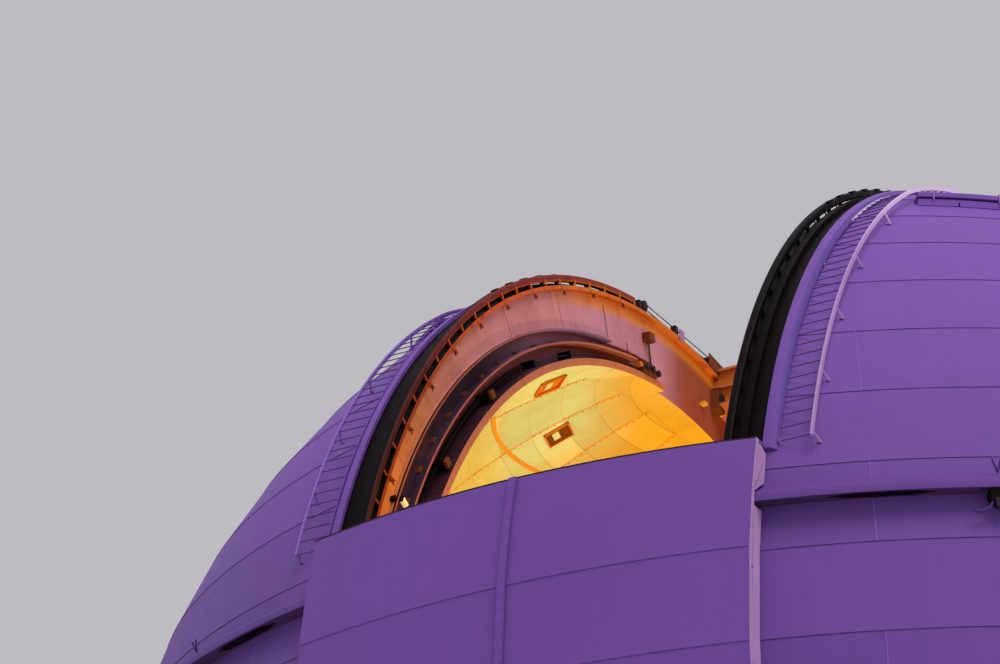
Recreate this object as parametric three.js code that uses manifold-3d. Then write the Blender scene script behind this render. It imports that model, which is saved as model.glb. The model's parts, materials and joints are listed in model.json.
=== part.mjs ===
// Observatory dome on its round building, in millimetres, +Z up, origin on the ground at the
// building's axis. The slit and the entrance face -Y.
import * as THREE from 'three';
import Module from 'manifold-3d';

const wasm = await Module();
wasm.setup();
const { Manifold, Mesh: SolidMesh } = wasm;

// Driving dimensions
const skinRadius = 15500;
const domeCentreHeight = 20000;
const skinThickness = 300;
const seat = 0.3;
const sectorGap = 0.0012;
const runningGap = 8;
const wheelGap = 0.5;

// Rings of plates that make up the dome's skin
const firstRingElevation = -0.65;
const ringStep = 6.15;
const facetStep = 6;
const lowerRings = 7;
const sideRings = 13;
const allRings = 14;
const backSector = { from: 162, to: 198 };

// Inner lining, which meets the arches at their inner flanges
const lining = { inner: 13900, outer: 13980, backFrom: 104, backThickness: 60, backCrown: 250, backGap: 10 };

// Slit and the two arch girders beside it: |x| and radius about the X axis
const slitEdge = 4150;
const webFace = 3550;
const flangeLip = 3440;
const outerFlangeTop = 14910;
const outerFlangeUnder = 14800;
const midFlange = { lip: 3425, top: 13860, under: 13740, rise: 620 };
const secondFlange = { lip: 3425, top: 13662, under: 13537, rise: 310 };
const innerFlange = { lip: 3395, top: 13360, under: 13205 };
const flangeSpread = { from: 27, to: 75, power: 1.25 };
const flangeGrooveFace = 3660;
const recessFace = 3800;
const track = { inner: 3690, outer: 3845, top: 15005 };
const archStep = 5;
const archFrontAngle = -0.6;
const archBackAngle = 180.6;

// Guard rail along each arch, from above the doors to just before the top
const guard = { inner: 3465, outer: 3620, under: 15005, top: 15145, from: 20.7, to: 83, postStep: 3.65 };
const guardPost = 70;

// Header beam where the slit ends behind the zenith
const slitEndAngle = 99;
const header = { from: 97.5, to: 101, under: 14040, webTop: 14770 };

// Main shutter, which runs up and over; angles are where it is parked at the back
const shutter = { inner: 15655, outer: 15780, halfWidth: 4060, from: 99.6, to: 180 };
const shutterSide = { inner: 3875, under: 14980, truckInner: 3680, truckLength: 620 };
const shutterBeam = { halfWidth: 3860, inner: 15595, outer: 15660, start: 0.4, end: 2 };

// Pair of front doors, which part sideways in front of the slit's lower end
const door = { outer: 16000, plate: 60, halfWidth: 4245, top: 5180, bottom: -310, back: 15575 };
const doorKinks = [4.7, 10.9, 14.9];
const doorStations = angles(-2.2, 17.6, 2.2);
const doorSideWall = 62;
const doorRoller = { inner: 15700, outer: 15800, azimuths: [2.5, 12], span: 1.6 };
const coverStrip = { halfWidth: 93, thickness: 55 };
const hoodNotch = { front: 15365, low: 3860, shoulder: 4110, top: 4530, topRadius: 14760 };
const doorSill = { halfAngle: 30, outer: 16060, top: -318, bottom: -700, chamfer: 180 };

// Hood over each door's upper track, with the drive at its outer end
const hood = {
  from: 16.6, to: 29.9, step: 2.7, backRadius: 14700, backTop: 4485, frontRadius: 15330, frontTop: 4070,
  lip: 3950, plate: 60, slope: 45,
};
const drive = { azimuth: 30.9, width: 420, inner: 14790, outer: 15410, low: 3560, high: 4260 };

// Bent pipe on the drive: reach outwards and rise over the box at each bend
const drivePipe = { radius: 45, from: 15250, bends: [[0, -60], [0, 300], [80, 420], [180, 380], [200, 250]] };

// Ladder beside each side of the slit
const ladder = { inner: 4370, outer: 5000, radius: 14880, from: 20.6, to: 67, rungPitch: 305 };
const stringer = { width: 60, depth: 100 };
const rungSize = 36;
const ladderFoot = { step: 7.2, margin: 0.4, length: 70, width: 52, bottom: 14400 };

// Rotating ring girder, its wheels and skirt: radii, and heights from the dome's centre
const ring = { inner: 13850, outer: 15480, bottom: -1000, chamfer: 180 };
const skirt = { inner: 14900, outer: 15000, bottom: -1900 };
const wheel = { count: 12, sides: 10, radius: 200, width: 130, ringRadius: 14350 };

// Round building: radii and heights from the ground
const wall = { inner: 14250, outer: 14600, top: 18000 };
const slabThickness = 250;
const ringBeam = { inner: 13950, outer: 14650, top: 18500 };
const rail = { inner: 14275, outer: 14425, top: 18640 };
const doorway = { halfWidth: 1300, height: 2750 };
const frameWidth = 100;
const frameDepth = 420;
const leafThickness = 60;
const leafFootGap = 5;
const meetingLine = { halfWidth: 4, depth: 15 };

// Finishes
const paint = (color, roughness = 0.6, metalness = 0.1) =>
  new THREE.MeshStandardMaterial({ color, roughness, metalness });
const whitePaint = paint(0xd9d6e0);
const wallPaint = paint(0xd2d0d4, 0.85, 0);
const concrete = paint(0x9b9993, 0.95, 0);
const salmonSteel = paint(0xc98a72, 0.55, 0.3);
const redPaint = paint(0xb5432a, 0.5, 0.3);
const darkSteel = paint(0x2f2b2c, 0.6, 0.6);
const greySteel = paint(0x85858a, 0.5, 0.7);
const doorPaint = paint(0x6f7680, 0.5, 0.3);
const goldPaint = paint(0xe8b648, 0.6, 0);

const radians = THREE.MathUtils.degToRad;

// Evenly spaced angles in degrees, both ends included
function angles(from, to, step) {
  const count = Math.max(1, Math.round((to - from) / step));
  return Array.from({ length: count + 1 }, (_, i) => from + (to - from) * i / count);
}

// Azimuth runs from the front, -Y, towards +X; a profile point is [radius, height]
function aroundZ([radius, height], degrees) {
  const a = radians(degrees);
  return new THREE.Vector3(radius * Math.sin(a), -radius * Math.cos(a), height);
}

// The arch angle runs from the front horizon over the top; a profile point is [x, radius]
function aroundX([x, radius], degrees) {
  const a = radians(degrees);
  return new THREE.Vector3(x, -radius * Math.cos(a), radius * Math.sin(a));
}

// Closed body swept from a closed profile through a list of angles; section moves a profile
// point to where it is at an angle
function sweep(outline, place, stations, fullTurn = false, section = point => point) {
  const flat = outline.map(([x, y]) => new THREE.Vector2(x, y));
  const clockwise = THREE.ShapeUtils.area(flat) < 0;
  const profile = clockwise ? outline.slice().reverse() : outline;
  const count = profile.length;
  const positions = stations.flatMap(a => profile.flatMap(p => place(section(p, a), a).toArray()));
  const index = [];
  const spans = fullTurn ? stations.length : stations.length - 1;
  for (let i = 0; i < spans; i++) {
    const near = i * count;
    const far = ((i + 1) % stations.length) * count;
    for (let j = 0; j < count; j++) {
      const k = (j + 1) % count;
      index.push(near + j, near + k, far + k, near + j, far + k, far + j);
    }
  }
  if (!fullTurn) {
    const last = (stations.length - 1) * count;
    const endFace = angle => THREE.ShapeUtils.triangulateShape(
      profile.map(p => new THREE.Vector2(...section(p, angle))), []);
    endFace(stations[0]).forEach(([a, b, c]) => index.push(a, c, b));
    endFace(stations.at(-1)).forEach(([a, b, c]) => index.push(last + a, last + b, last + c));
  }
  return facingOut(positions, index);
}

function enclosedVolume(positions, index) {
  const at = i => new THREE.Vector3().fromArray(positions, 3 * i);
  let volume = 0;
  for (let t = 0; t < index.length; t += 3) {
    volume += at(index[t]).dot(at(index[t + 1]).cross(at(index[t + 2]))) / 6;
  }
  return volume;
}

function facingOut(positions, index) {
  if (enclosedVolume(positions, index) < 0) {
    for (let t = 0; t < index.length; t += 3) {
      [index[t + 1], index[t + 2]] = [index[t + 2], index[t + 1]];
    }
  }
  const geometry = new THREE.BufferGeometry();
  geometry.setAttribute('position', new THREE.Float32BufferAttribute(positions, 3));
  geometry.setIndex(index);
  return geometry;
}

// Between three.js geometry and solids that can be joined and cut
function toSolid(geometry) {
  return new Manifold(new SolidMesh({
    numProp: 3,
    vertProperties: new Float32Array(geometry.attributes.position.array),
    triVerts: new Uint32Array(geometry.index.array),
  }));
}

function toGeometry(solid) {
  const mesh = solid.getMesh();
  return facingOut([...mesh.vertProperties], [...mesh.triVerts]);
}

const solidSweep = (...args) => toSolid(sweep(...args));

// Box between its lowest and its highest corner
function blockBetween(low, high) {
  const size = new THREE.Vector3(...high).sub(new THREE.Vector3(...low));
  const box = new THREE.BoxGeometry(size.x, size.y, size.z);
  box.translate(low[0] + size.x / 2, low[1] + size.y / 2, low[2] + size.z / 2);
  return toSolid(welded(box));
}

// Corners that the face normals keep apart become shared ones, to a hundredth of a millimetre
const weldSteps = 100;

function welded(geometry) {
  const source = geometry.attributes.position;
  const seen = new Map();
  const positions = [];
  const index = [];
  for (let i = 0; i < geometry.index.count; i++) {
    const v = new THREE.Vector3().fromBufferAttribute(source, geometry.index.getX(i));
    const key = v.toArray().map(n => Math.round(n * weldSteps)).join();
    if (!seen.has(key)) {
      seen.set(key, positions.length / 3);
      positions.push(...v.toArray());
    }
    index.push(seen.get(key));
  }
  return facingOut(positions, index);
}

// Block on the arch: x from and to, radius from and to, centred on an arch angle
function archBlock(xs, radii, degrees, length) {
  const box = new THREE.BoxGeometry(xs[1] - xs[0], length, radii[1] - radii[0]);
  box.translate((xs[0] + xs[1]) / 2, 0, (radii[0] + radii[1]) / 2);
  box.rotateX(radians(90 - degrees));
  return toSolid(welded(box));
}

function mirrored(solid) {
  const geometry = toGeometry(solid);
  geometry.scale(-1, 1, 1);
  return toSolid(facingOut([...geometry.attributes.position.array], [...geometry.index.array]));
}

// Shells of flat-sided rings, which stand on one level foot
const footHeight = skinRadius * Math.sin(radians(firstRingElevation));

function ringCorner(radius, k, lift = 0) {
  if (k === 0) return [Math.sqrt(radius ** 2 - footHeight ** 2), footHeight];
  const a = radians(firstRingElevation + ringStep * k + lift);
  return [radius * Math.cos(a), radius * Math.sin(a)];
}

function shellBand(inner, outer, firstRing, lastRing, from, to) {
  const rings = Array.from({ length: lastRing - firstRing + 1 }, (_, i) => firstRing + i);
  const lift = k => (k === firstRing ? sectorGap : 0);
  const outside = rings.map(k => ringCorner(outer, k, lift(k)));
  const inside = rings.map(k => ringCorner(inner, k, lift(k))).reverse();
  return solidSweep([...outside, ...inside], aroundZ, angles(from, to, facetStep));
}

// Outer skin; offset grows it on both faces to leave a seat beside it
function skinBand(firstRing, lastRing, from, to, offset = 0) {
  return shellBand(skinRadius - skinThickness - offset, skinRadius + offset, firstRing, lastRing, from, to);
}

// Half turn of skin that pieces standing on the dome are cut back from
const rightSkinSeat = skinBand(0, allRings, 0, 180, seat);

function sideSkin(firstRing, lastRing, from, to) {
  return skinBand(firstRing, lastRing, from + sectorGap, to - sectorGap).trimByPlane([1, 0, 0], slitEdge);
}

function backSkin() {
  const behind = [0, Math.sin(radians(slitEndAngle)), Math.cos(radians(slitEndAngle))];
  return skinBand(0, allRings, backSector.from, backSector.to)
    .trimByPlane([1, 0, 0], -flangeLip + seat)
    .trimByPlane([-1, 0, 0], -flangeLip + seat)
    .trimByPlane(behind, 0);
}

function sideLining() {
  return shellBand(lining.inner, lining.outer, 0, sideRings, 12, 168).trimByPlane([1, 0, 0], slitEdge);
}

const archStations = angles(archFrontAngle, archBackAngle, archStep);

// Lining behind the slit, which rests on the inner flanges of both arches
function backLining() {
  const edge = recessFace - lining.backGap;
  const lip = innerFlange.lip;
  const foot = innerFlange.top + seat;
  const crown = angles(-lip, lip, lip / 3).map(x => [x, foot + lining.backCrown * (1 - (x / lip) ** 2)]);
  const under = [[-edge, foot], ...crown, [edge, foot]];
  const over = under.map(([x, radius]) => [x, radius + lining.backThickness]).reverse();
  return solidSweep([...under, ...over], aroundX, archStations.filter(at => at > lining.backFrom));
}

// Both middle flanges lie further out towards the front, by a share of their rise
function archSection([x, radius, rise = 0], degrees) {
  const { from, to, power } = flangeSpread;
  const along = THREE.MathUtils.clamp((degrees - from) / (to - from), 0, 1);
  return [x, radius + rise * (1 - along ** power)];
}

function archGirder(offset = 0) {
  const profile = [
    [slitEdge - seat, outerFlangeTop + offset],
    [track.outer, outerFlangeTop + offset],
    [track.outer, track.top],
    [track.inner, track.top],
    [track.inner, outerFlangeTop + offset],
    [flangeLip, outerFlangeTop + offset],
    [flangeLip, outerFlangeUnder],
    [webFace, outerFlangeUnder],
    [webFace, midFlange.top, midFlange.rise],
    [midFlange.lip, midFlange.top, midFlange.rise],
    [midFlange.lip, midFlange.under, midFlange.rise],
    [flangeGrooveFace, midFlange.under, midFlange.rise],
    [flangeGrooveFace, secondFlange.top, secondFlange.rise],
    [secondFlange.lip, secondFlange.top, secondFlange.rise],
    [secondFlange.lip, secondFlange.under, secondFlange.rise],
    [recessFace, secondFlange.under, secondFlange.rise],
    [recessFace, innerFlange.top],
    [innerFlange.lip, innerFlange.top],
    [innerFlange.lip, innerFlange.under],
    [slitEdge - seat, innerFlange.under],
  ];
  return solidSweep(profile, aroundX, archStations, false, archSection);
}

function archGuard() {
  const bar = [
    [guard.inner, guard.under],
    [guard.outer, guard.under],
    [guard.outer, guard.top],
    [guard.inner, guard.top],
  ];
  const parts = [solidSweep(bar, aroundX, angles(guard.from, guard.to, archStep))];
  const edge = guardPost / 2;
  for (const at of angles(guard.from + 0.3, guard.to - 0.3, guard.postStep)) {
    const middle = (guard.inner + guard.outer) / 2;
    parts.push(archBlock([middle - edge, middle + edge],
      [outerFlangeTop - edge, guard.under + edge], at, guardPost));
  }
  return Manifold.union(parts).subtract(archGirder(seat));
}

function headerBeam() {
  const underSkin = x => Math.sqrt((skinRadius - skinThickness / 2) ** 2 - x * x);
  const end = webFace - seat;
  const shoulder = flangeLip - seat;
  const crown = angles(-shoulder, shoulder, shoulder / 4).map(x => [x, underSkin(x)]);
  const profile = [[-end, header.under], [-end, header.webTop], [-shoulder, header.webTop],
    ...crown, [shoulder, header.webTop], [end, header.webTop], [end, header.under]];
  const beam = solidSweep(profile, aroundX, [header.from, header.to]);
  return beam.subtract(skinBand(0, allRings, backSector.from - facetStep, backSector.to + facetStep, seat));
}

function shutterCurve(radius) {
  const marks = [shutter.halfWidth, shutterSide.inner, 3100, 1550];
  const xs = [...marks.map(x => -x), 0, ...marks.slice().reverse()];
  return xs.map(x => [x, Math.sqrt(radius * radius - x * x)]);
}

const shutterStep = (shutter.to - shutter.from) / 14;

function shutterSkin(from, to, offset = 0) {
  const profile = [...shutterCurve(shutter.outer), ...shutterCurve(shutter.inner - offset).reverse()];
  return solidSweep(profile, aroundX, angles(from, to, shutterStep));
}

function shutterSideGirder() {
  const under = x => Math.sqrt(shutter.inner ** 2 - x * x) - seat;
  const plate = [
    [shutterSide.inner, shutterSide.under],
    [shutter.halfWidth, shutterSide.under],
    [shutter.halfWidth, under(shutter.halfWidth)],
    [shutterSide.inner, under(shutterSide.inner)],
  ];
  const parts = [solidSweep(plate, aroundX, angles(shutter.from, shutter.to, shutterStep))];
  const truckStations = archStations.filter((at, i) =>
    i % 3 === 0 && at > shutter.from && at < shutter.to);
  for (const at of truckStations) {
    parts.push(archBlock([shutterSide.truckInner, shutterSide.inner + 40],
      [track.top + wheelGap, track.top + 110], at, shutterSide.truckLength));
  }
  return Manifold.union(parts);
}

function shutterFrontBeam() {
  const xs = angles(-shutterBeam.halfWidth, shutterBeam.halfWidth, shutterBeam.halfWidth / 3);
  const arc = (radius, x) => [x, Math.sqrt(radius * radius - x * x)];
  const top = xs.map(x => arc(shutterBeam.outer, x));
  const under = xs.map(x => arc(shutterBeam.inner, x)).reverse();
  const stations = [shutter.from + shutterBeam.start, shutter.from + shutterBeam.end];
  return solidSweep([...top, ...under], aroundX, stations)
    .subtract(shutterSkin(shutter.from, shutter.from + shutterStep, seat));
}

// Profile of a door's face at a radius, from its foot to its top edge
function doorFace(radius) {
  const low = THREE.MathUtils.radToDeg(Math.asin(door.bottom / radius));
  const high = THREE.MathUtils.radToDeg(Math.asin(door.top / radius));
  return [low, ...doorKinks, high].map(e => [radius * Math.cos(radians(e)), radius * Math.sin(radians(e))]);
}

function doorBlock(offset = 0) {
  return solidSweep([...doorFace(door.outer + offset), ...doorFace(door.back).reverse()],
    aroundZ, doorStations);
}

// Door on the right, from the x where it meets the other one
function frontDoor(meeting) {
  const block = doorBlock()
    .trimByPlane([1, 0, 0], meeting)
    .trimByPlane([-1, 0, 0], -door.halfWidth);
  const inner = doorFace(door.outer - door.plate);
  const cavity = solidSweep([...inner, [door.back / 2, door.top], [door.back / 2, door.bottom]],
    aroundZ, doorStations)
    .trimByPlane([-1, 0, 0], -door.halfWidth + doorSideWall)
    .trimByPlane([0, 0, 1], door.bottom + door.plate)
    .trimByPlane([0, 0, -1], -door.top + door.plate);
  const notchProfile = [[door.back / 2, hoodNotch.low], [hoodNotch.front, hoodNotch.low],
    [hoodNotch.front, hoodNotch.shoulder], [hoodNotch.topRadius, hoodNotch.top],
    [door.back / 2, hoodNotch.top]];
  const rollerFoot = doorSill.top + wheelGap;
  const rollerTop = door.bottom + door.plate / 2;
  const rollerProfile = [[doorRoller.inner, rollerFoot], [doorRoller.outer, rollerFoot],
    [doorRoller.outer, rollerTop], [doorRoller.inner, rollerTop]];
  const rollers = doorRoller.azimuths.map(at =>
    solidSweep(rollerProfile, aroundZ, [at, at + doorRoller.span]));
  return Manifold.union([
    block.subtract(cavity).subtract(solidSweep(notchProfile, aroundZ, doorStations)),
    ...rollers,
  ]);
}

// The strip sits on the left door, along its meeting edge
function doorCoverStrip() {
  const half = THREE.MathUtils.radToDeg(coverStrip.halfWidth / door.outer);
  const strip = solidSweep([...doorFace(door.outer + coverStrip.thickness),
    ...doorFace(door.outer - door.plate / 2).reverse()], aroundZ, [-half, half]);
  return strip.subtract(mirrored(doorBlock(seat)));
}

function doorSillTrack() {
  const profile = [[ring.outer + seat, doorSill.bottom],
    [doorSill.outer, doorSill.bottom + doorSill.chamfer],
    [doorSill.outer, doorSill.top], [ring.outer + seat, doorSill.top]];
  return solidSweep(profile, aroundZ, angles(-doorSill.halfAngle, doorSill.halfAngle, facetStep));
}

function doorHood() {
  const profile = [
    [hood.backRadius, hood.backTop],
    [hood.frontRadius, hood.frontTop],
    [hood.frontRadius, hood.lip],
    [hood.frontRadius - hood.plate, hood.lip],
    [hood.frontRadius - hood.plate, hood.frontTop - hood.slope],
    [hood.backRadius, hood.backTop - hood.plate - hood.slope],
  ];
  return solidSweep(profile, aroundZ, angles(hood.from, hood.to, hood.step)).subtract(rightSkinSeat);
}

function doorDrive() {
  const box = new THREE.BoxGeometry(drive.width, drive.outer - drive.inner, drive.high - drive.low);
  box.translate(0, -(drive.outer + drive.inner) / 2, (drive.high + drive.low) / 2);
  box.rotateZ(radians(drive.azimuth));
  const hook = new THREE.CatmullRomCurve3(drivePipe.bends.map(([reach, rise]) =>
    new THREE.Vector3(0, -drivePipe.from - reach, drive.high + rise)));
  const circle = new THREE.EllipseCurve(0, 0, drivePipe.radius, drivePipe.radius);
  const section = new THREE.Shape(circle.getPoints(6).slice(0, 6));
  const pipe = new THREE.ExtrudeGeometry(section, { steps: 8, extrudePath: hook, curveSegments: 6 });
  pipe.rotateZ(radians(drive.azimuth));
  const solid = toSolid(welded(box)).add(toSolid(weldedLoose(pipe)));
  return solid.subtract(rightSkinSeat);
}

// Extruded shapes have no index; give them one before welding
function weldedLoose(geometry) {
  geometry.setIndex([...Array(geometry.attributes.position.count).keys()]);
  return welded(geometry);
}

function ladderOnArch() {
  const bar = (middle) => [
    [middle - stringer.width / 2, ladder.radius - stringer.depth / 2],
    [middle + stringer.width / 2, ladder.radius - stringer.depth / 2],
    [middle + stringer.width / 2, ladder.radius + stringer.depth / 2],
    [middle - stringer.width / 2, ladder.radius + stringer.depth / 2],
  ];
  const parts = [ladder.inner, ladder.outer].map(x =>
    solidSweep(bar(x), aroundX, angles(ladder.from, ladder.to, archStep)));
  const pitch = THREE.MathUtils.radToDeg(ladder.rungPitch / ladder.radius);
  const half = rungSize / 2;
  for (const at of angles(ladder.from + pitch / 2, ladder.to - pitch / 2, pitch)) {
    parts.push(archBlock([ladder.inner, ladder.outer],
      [ladder.radius - half, ladder.radius + half], at, rungSize));
  }
  const side = ladderFoot.width / 2;
  for (const at of angles(ladder.from + ladderFoot.margin, ladder.to - ladderFoot.margin, ladderFoot.step)) {
    for (const x of [ladder.inner, ladder.outer]) {
      parts.push(archBlock([x - side, x + side], [ladderFoot.bottom, ladder.radius], at, ladderFoot.length));
    }
  }
  return Manifold.union(parts).subtract(rightSkinSeat).decompose()
    .sort((a, b) => b.volume() - a.volume())[0];
}

function ringGirder() {
  const top = footHeight - seat;
  const profile = [[ring.inner, ring.bottom], [skirt.inner, ring.bottom], [skirt.inner, skirt.bottom],
    [skirt.outer, skirt.bottom], [skirt.outer, ring.bottom], [ring.outer, ring.bottom + ring.chamfer],
    [ring.outer, top], [ring.inner, top]];
  const parts = [solidSweep(profile, aroundZ, angles(0, 360 - facetStep, facetStep), true)];
  const flatToAxle = wheel.radius * Math.cos(Math.PI / wheel.sides);
  const wheelHeight = rail.top + wheelGap - domeCentreHeight + flatToAxle;
  for (let i = 0; i < wheel.count; i++) {
    const disc = new THREE.CylinderGeometry(wheel.radius, wheel.radius, wheel.width, wheel.sides);
    disc.rotateY(Math.PI / wheel.sides);
    disc.translate(0, -wheel.ringRadius, wheelHeight);
    disc.rotateZ(2 * Math.PI * (i + 0.5) / wheel.count);
    parts.push(toSolid(welded(disc)));
  }
  return Manifold.union(parts);
}

function wallSector(from, to, low = 0, high = wall.top) {
  const profile = [[wall.inner, low], [wall.outer, low], [wall.outer, high], [wall.inner, high]];
  return solidSweep(profile, aroundZ, angles(from + sectorGap, to - sectorGap, facetStep));
}

function fullRing(inner, outer, low, high) {
  const profile = [[inner, low], [outer, low], [outer, high], [inner, high]];
  return solidSweep(profile, aroundZ, angles(0, 360 - facetStep, facetStep), true);
}

function groundSlab() {
  const inside = wall.inner - seat;
  const disc = new THREE.CylinderGeometry(inside, inside, slabThickness, 360 / facetStep);
  disc.rotateX(Math.PI / 2);
  disc.translate(0, 0, slabThickness / 2);
  return toSolid(welded(disc));
}

function entranceFrame() {
  const middle = -(wall.inner + wall.outer) / 2;
  const back = middle + frameDepth / 2;
  const front = middle - frameDepth / 2;
  const half = doorway.halfWidth - seat;
  const outside = blockBetween([-half, front, 0], [half, back, doorway.height - seat]);
  const inside = blockBetween([-half + frameWidth, front - 1, -1],
    [half - frameWidth, back + 1, doorway.height - frameWidth]);
  return outside.subtract(inside);
}

function entranceDoor() {
  const middle = -(wall.inner + wall.outer) / 2;
  const half = doorway.halfWidth - frameWidth - 2 * seat;
  const face = middle - leafThickness / 2;
  const leaves = blockBetween([-half, face, leafFootGap],
    [half, face + leafThickness, doorway.height - frameWidth - 2 * seat]);
  const meeting = blockBetween([-meetingLine.halfWidth, face - meetingLine.depth, 0],
    [meetingLine.halfWidth, face + meetingLine.depth, doorway.height]);
  return leaves.subtract(meeting);
}

// Scene graph
const observatory = new THREE.Group();
const building = new THREE.Group();
const dome = new THREE.Group();
dome.position.z = domeCentreHeight;
observatory.add(building, dome);

function add(group, name, solid, material) {
  const mesh = new THREE.Mesh(toGeometry(solid), material);
  mesh.name = name;
  group.add(mesh);
}

function addPair(group, name, solid, material) {
  add(group, `${name}_right`, solid, material);
  add(group, `${name}_left`, mirrored(solid), material);
}

add(building, 'ground_slab', groundSlab(), concrete);
const frontWall = wallSector(-30, 30);
add(building, 'wall_front_right', frontWall.trimByPlane([1, 0, 0], doorway.halfWidth), wallPaint);
add(building, 'wall_front_left', frontWall.trimByPlane([-1, 0, 0], doorway.halfWidth), wallPaint);
add(building, 'wall_over_door', frontWall
  .trimByPlane([1, 0, 0], -doorway.halfWidth + seat)
  .trimByPlane([-1, 0, 0], -doorway.halfWidth + seat)
  .trimByPlane([0, 0, 1], doorway.height), wallPaint);
add(building, 'wall_right', wallSector(30, 150), wallPaint);
add(building, 'wall_rear', wallSector(150, 210), wallPaint);
add(building, 'wall_left', wallSector(210, 330), wallPaint);
add(building, 'entrance_frame', entranceFrame(), doorPaint);
add(building, 'entrance_door', entranceDoor(), doorPaint);
const beamRing = fullRing(ringBeam.inner, ringBeam.outer, wall.top + seat, ringBeam.top);
add(building, 'wall_ring_beam', beamRing, concrete);
add(building, 'azimuth_rail', fullRing(rail.inner, rail.outer, ringBeam.top + seat, rail.top), darkSteel);

add(dome, 'dome_ring_girder', ringGirder(), greySteel);
addPair(dome, 'skin_front', sideSkin(0, lowerRings, 12, 60), whitePaint);
addPair(dome, 'skin_side', sideSkin(0, lowerRings, 60, 120), whitePaint);
addPair(dome, 'skin_rear', sideSkin(0, lowerRings, 120, 168), whitePaint);
addPair(dome, 'skin_upper', sideSkin(lowerRings, sideRings, 12, 168), whitePaint);
add(dome, 'skin_back', backSkin(), whitePaint);
addPair(dome, 'lining', sideLining(), goldPaint);
add(dome, 'lining_back', backLining(), goldPaint);
addPair(dome, 'arch_girder', archGirder(), salmonSteel);
addPair(dome, 'arch_guard', archGuard(), redPaint);
add(dome, 'header_beam', headerBeam(), salmonSteel);
add(dome, 'door_sill_track', doorSillTrack(), whitePaint);
addPair(dome, 'door_hood', doorHood(), whitePaint);
addPair(dome, 'door_drive', doorDrive(), darkSteel);
addPair(dome, 'ladder', ladderOnArch(), whitePaint);

add(dome, 'front_door_right', frontDoor(coverStrip.halfWidth + runningGap), whitePaint);
add(dome, 'front_door_left', mirrored(frontDoor(-coverStrip.halfWidth)), whitePaint);
add(dome, 'door_cover_strip', doorCoverStrip(), whitePaint);

const shutterMiddle = (shutter.from + shutter.to) / 2;
add(dome, 'shutter_skin_front', shutterSkin(shutter.from, shutterMiddle - sectorGap), whitePaint);
add(dome, 'shutter_skin_rear', shutterSkin(shutterMiddle + sectorGap, shutter.to), whitePaint);
addPair(dome, 'shutter_side', shutterSideGirder(), greySteel);
add(dome, 'shutter_front_beam', shutterFrontBeam(), salmonSteel);

export default observatory;
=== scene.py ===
"""Looks of the observatory dome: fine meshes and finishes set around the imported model."""
import json
import math

import bmesh
import bpy
from mathutils import Matrix, Vector


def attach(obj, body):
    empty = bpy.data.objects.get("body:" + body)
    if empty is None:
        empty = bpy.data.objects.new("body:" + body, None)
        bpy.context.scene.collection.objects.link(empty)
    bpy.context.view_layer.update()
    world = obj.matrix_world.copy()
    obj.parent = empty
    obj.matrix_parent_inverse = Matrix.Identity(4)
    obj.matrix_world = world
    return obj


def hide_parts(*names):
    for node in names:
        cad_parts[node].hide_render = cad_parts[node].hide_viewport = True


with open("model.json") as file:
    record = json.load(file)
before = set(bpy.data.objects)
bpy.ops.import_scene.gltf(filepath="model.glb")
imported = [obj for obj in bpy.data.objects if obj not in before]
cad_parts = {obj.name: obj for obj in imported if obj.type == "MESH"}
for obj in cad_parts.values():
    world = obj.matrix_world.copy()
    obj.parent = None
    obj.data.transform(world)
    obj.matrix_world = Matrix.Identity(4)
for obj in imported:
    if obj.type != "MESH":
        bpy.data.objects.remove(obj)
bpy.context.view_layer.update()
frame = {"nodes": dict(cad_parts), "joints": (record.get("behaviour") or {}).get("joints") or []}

DOME_Z = frame["joints"][0]["pos_m"][2]

# Outer skin: rings of plates, the edge beside the slit and the seams between plates
SKIN, SKIN_IN = 15.5, 15.2
RING_FROM, RING_STEP = -0.65, 6.15
FOOT = SKIN * math.sin(math.radians(RING_FROM))
LOWER_RINGS, SIDE_RINGS, ALL_RINGS = 7, 13, 14
SECTOR, SECTOR_JOINTS, BACK_SECTOR = (12, 168), (60, 120), (162, 198)
PLATE_LAP = 0.011
SLIT_EDGE = 4.15
BACK_HALF = 3.4397
SLIT_END = 99.0
SEAM_AZIMUTH, SEAM_SPACING = 23.3, 22.5
STRAP_RINGS, STRAP_WIDTH = 5, 0.024
SLIT_CURB = (20.2, 179.4)

# Curb round the top: radius, where it starts beside the ladder, heights from the dome's centre
TOP_RAIL, TOP_RAIL_START = 9.46, 5.13
TOP_RAIL_HEIGHTS = (12.26, 12.40, 12.44, 12.53)

# Inner lining: boards in rows, with ribs and square vents
LINING, LINING_OUT = 13.9, 13.975
BOARD_ROW, BOARD_FROM, BOARD_ROWS = 3.2, 1.4, 23
BOARD_SPAN, BOARD_LAP = 17.4, 0.012
RIB_ELEVATIONS, RIB_SECTOR = (20.6, 40.2, 59.7), (51, 129)
BATTEN_TOP, NAIL_PITCH = 74, 0.7
VENTS = ((74.4, 64.5), (47.5, 63.2), (120.0, 40.0), (60.0, 30.0), (95.0, 30.0))
VENT_HALF = 0.31

# Arches: x, and radius about the X axis; a flange has its inner and outer radius and its rise
WEB, RECESS, GROOVE = 3.55, 3.8, 3.66
OUTER_LIP, MID_LIP, INNER_LIP = 3.44, 3.425, 3.395
OUTER_TOP, OUTER_UNDER = 14.91, 14.83
MID = (13.81, 13.855, 0.62)
SECOND = (13.612, 13.657, 0.31)
INNER = (13.205, 13.36)
FLANGE_SPREAD = (27.0, 75.0, 1.25)
TRACK = (3.69, 3.845, 15.005)
ARCH_FROM, ARCH_TO, ARCH_STEPS = -0.6, 180.6, 36
ARCH_CAD_STEP = (ARCH_TO - ARCH_FROM) / ARCH_STEPS
MID_END, SECOND_END, INNER_END, BACK_LEDGE_FROM = 15, 16, 17, 21
WEB_JOINTS, WEB_BARS = (30.0, 55.6, 66.2), ((75.3, SECOND[1] + 0.3, 14.66), (79.2, 13.6, 14.0))
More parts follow.
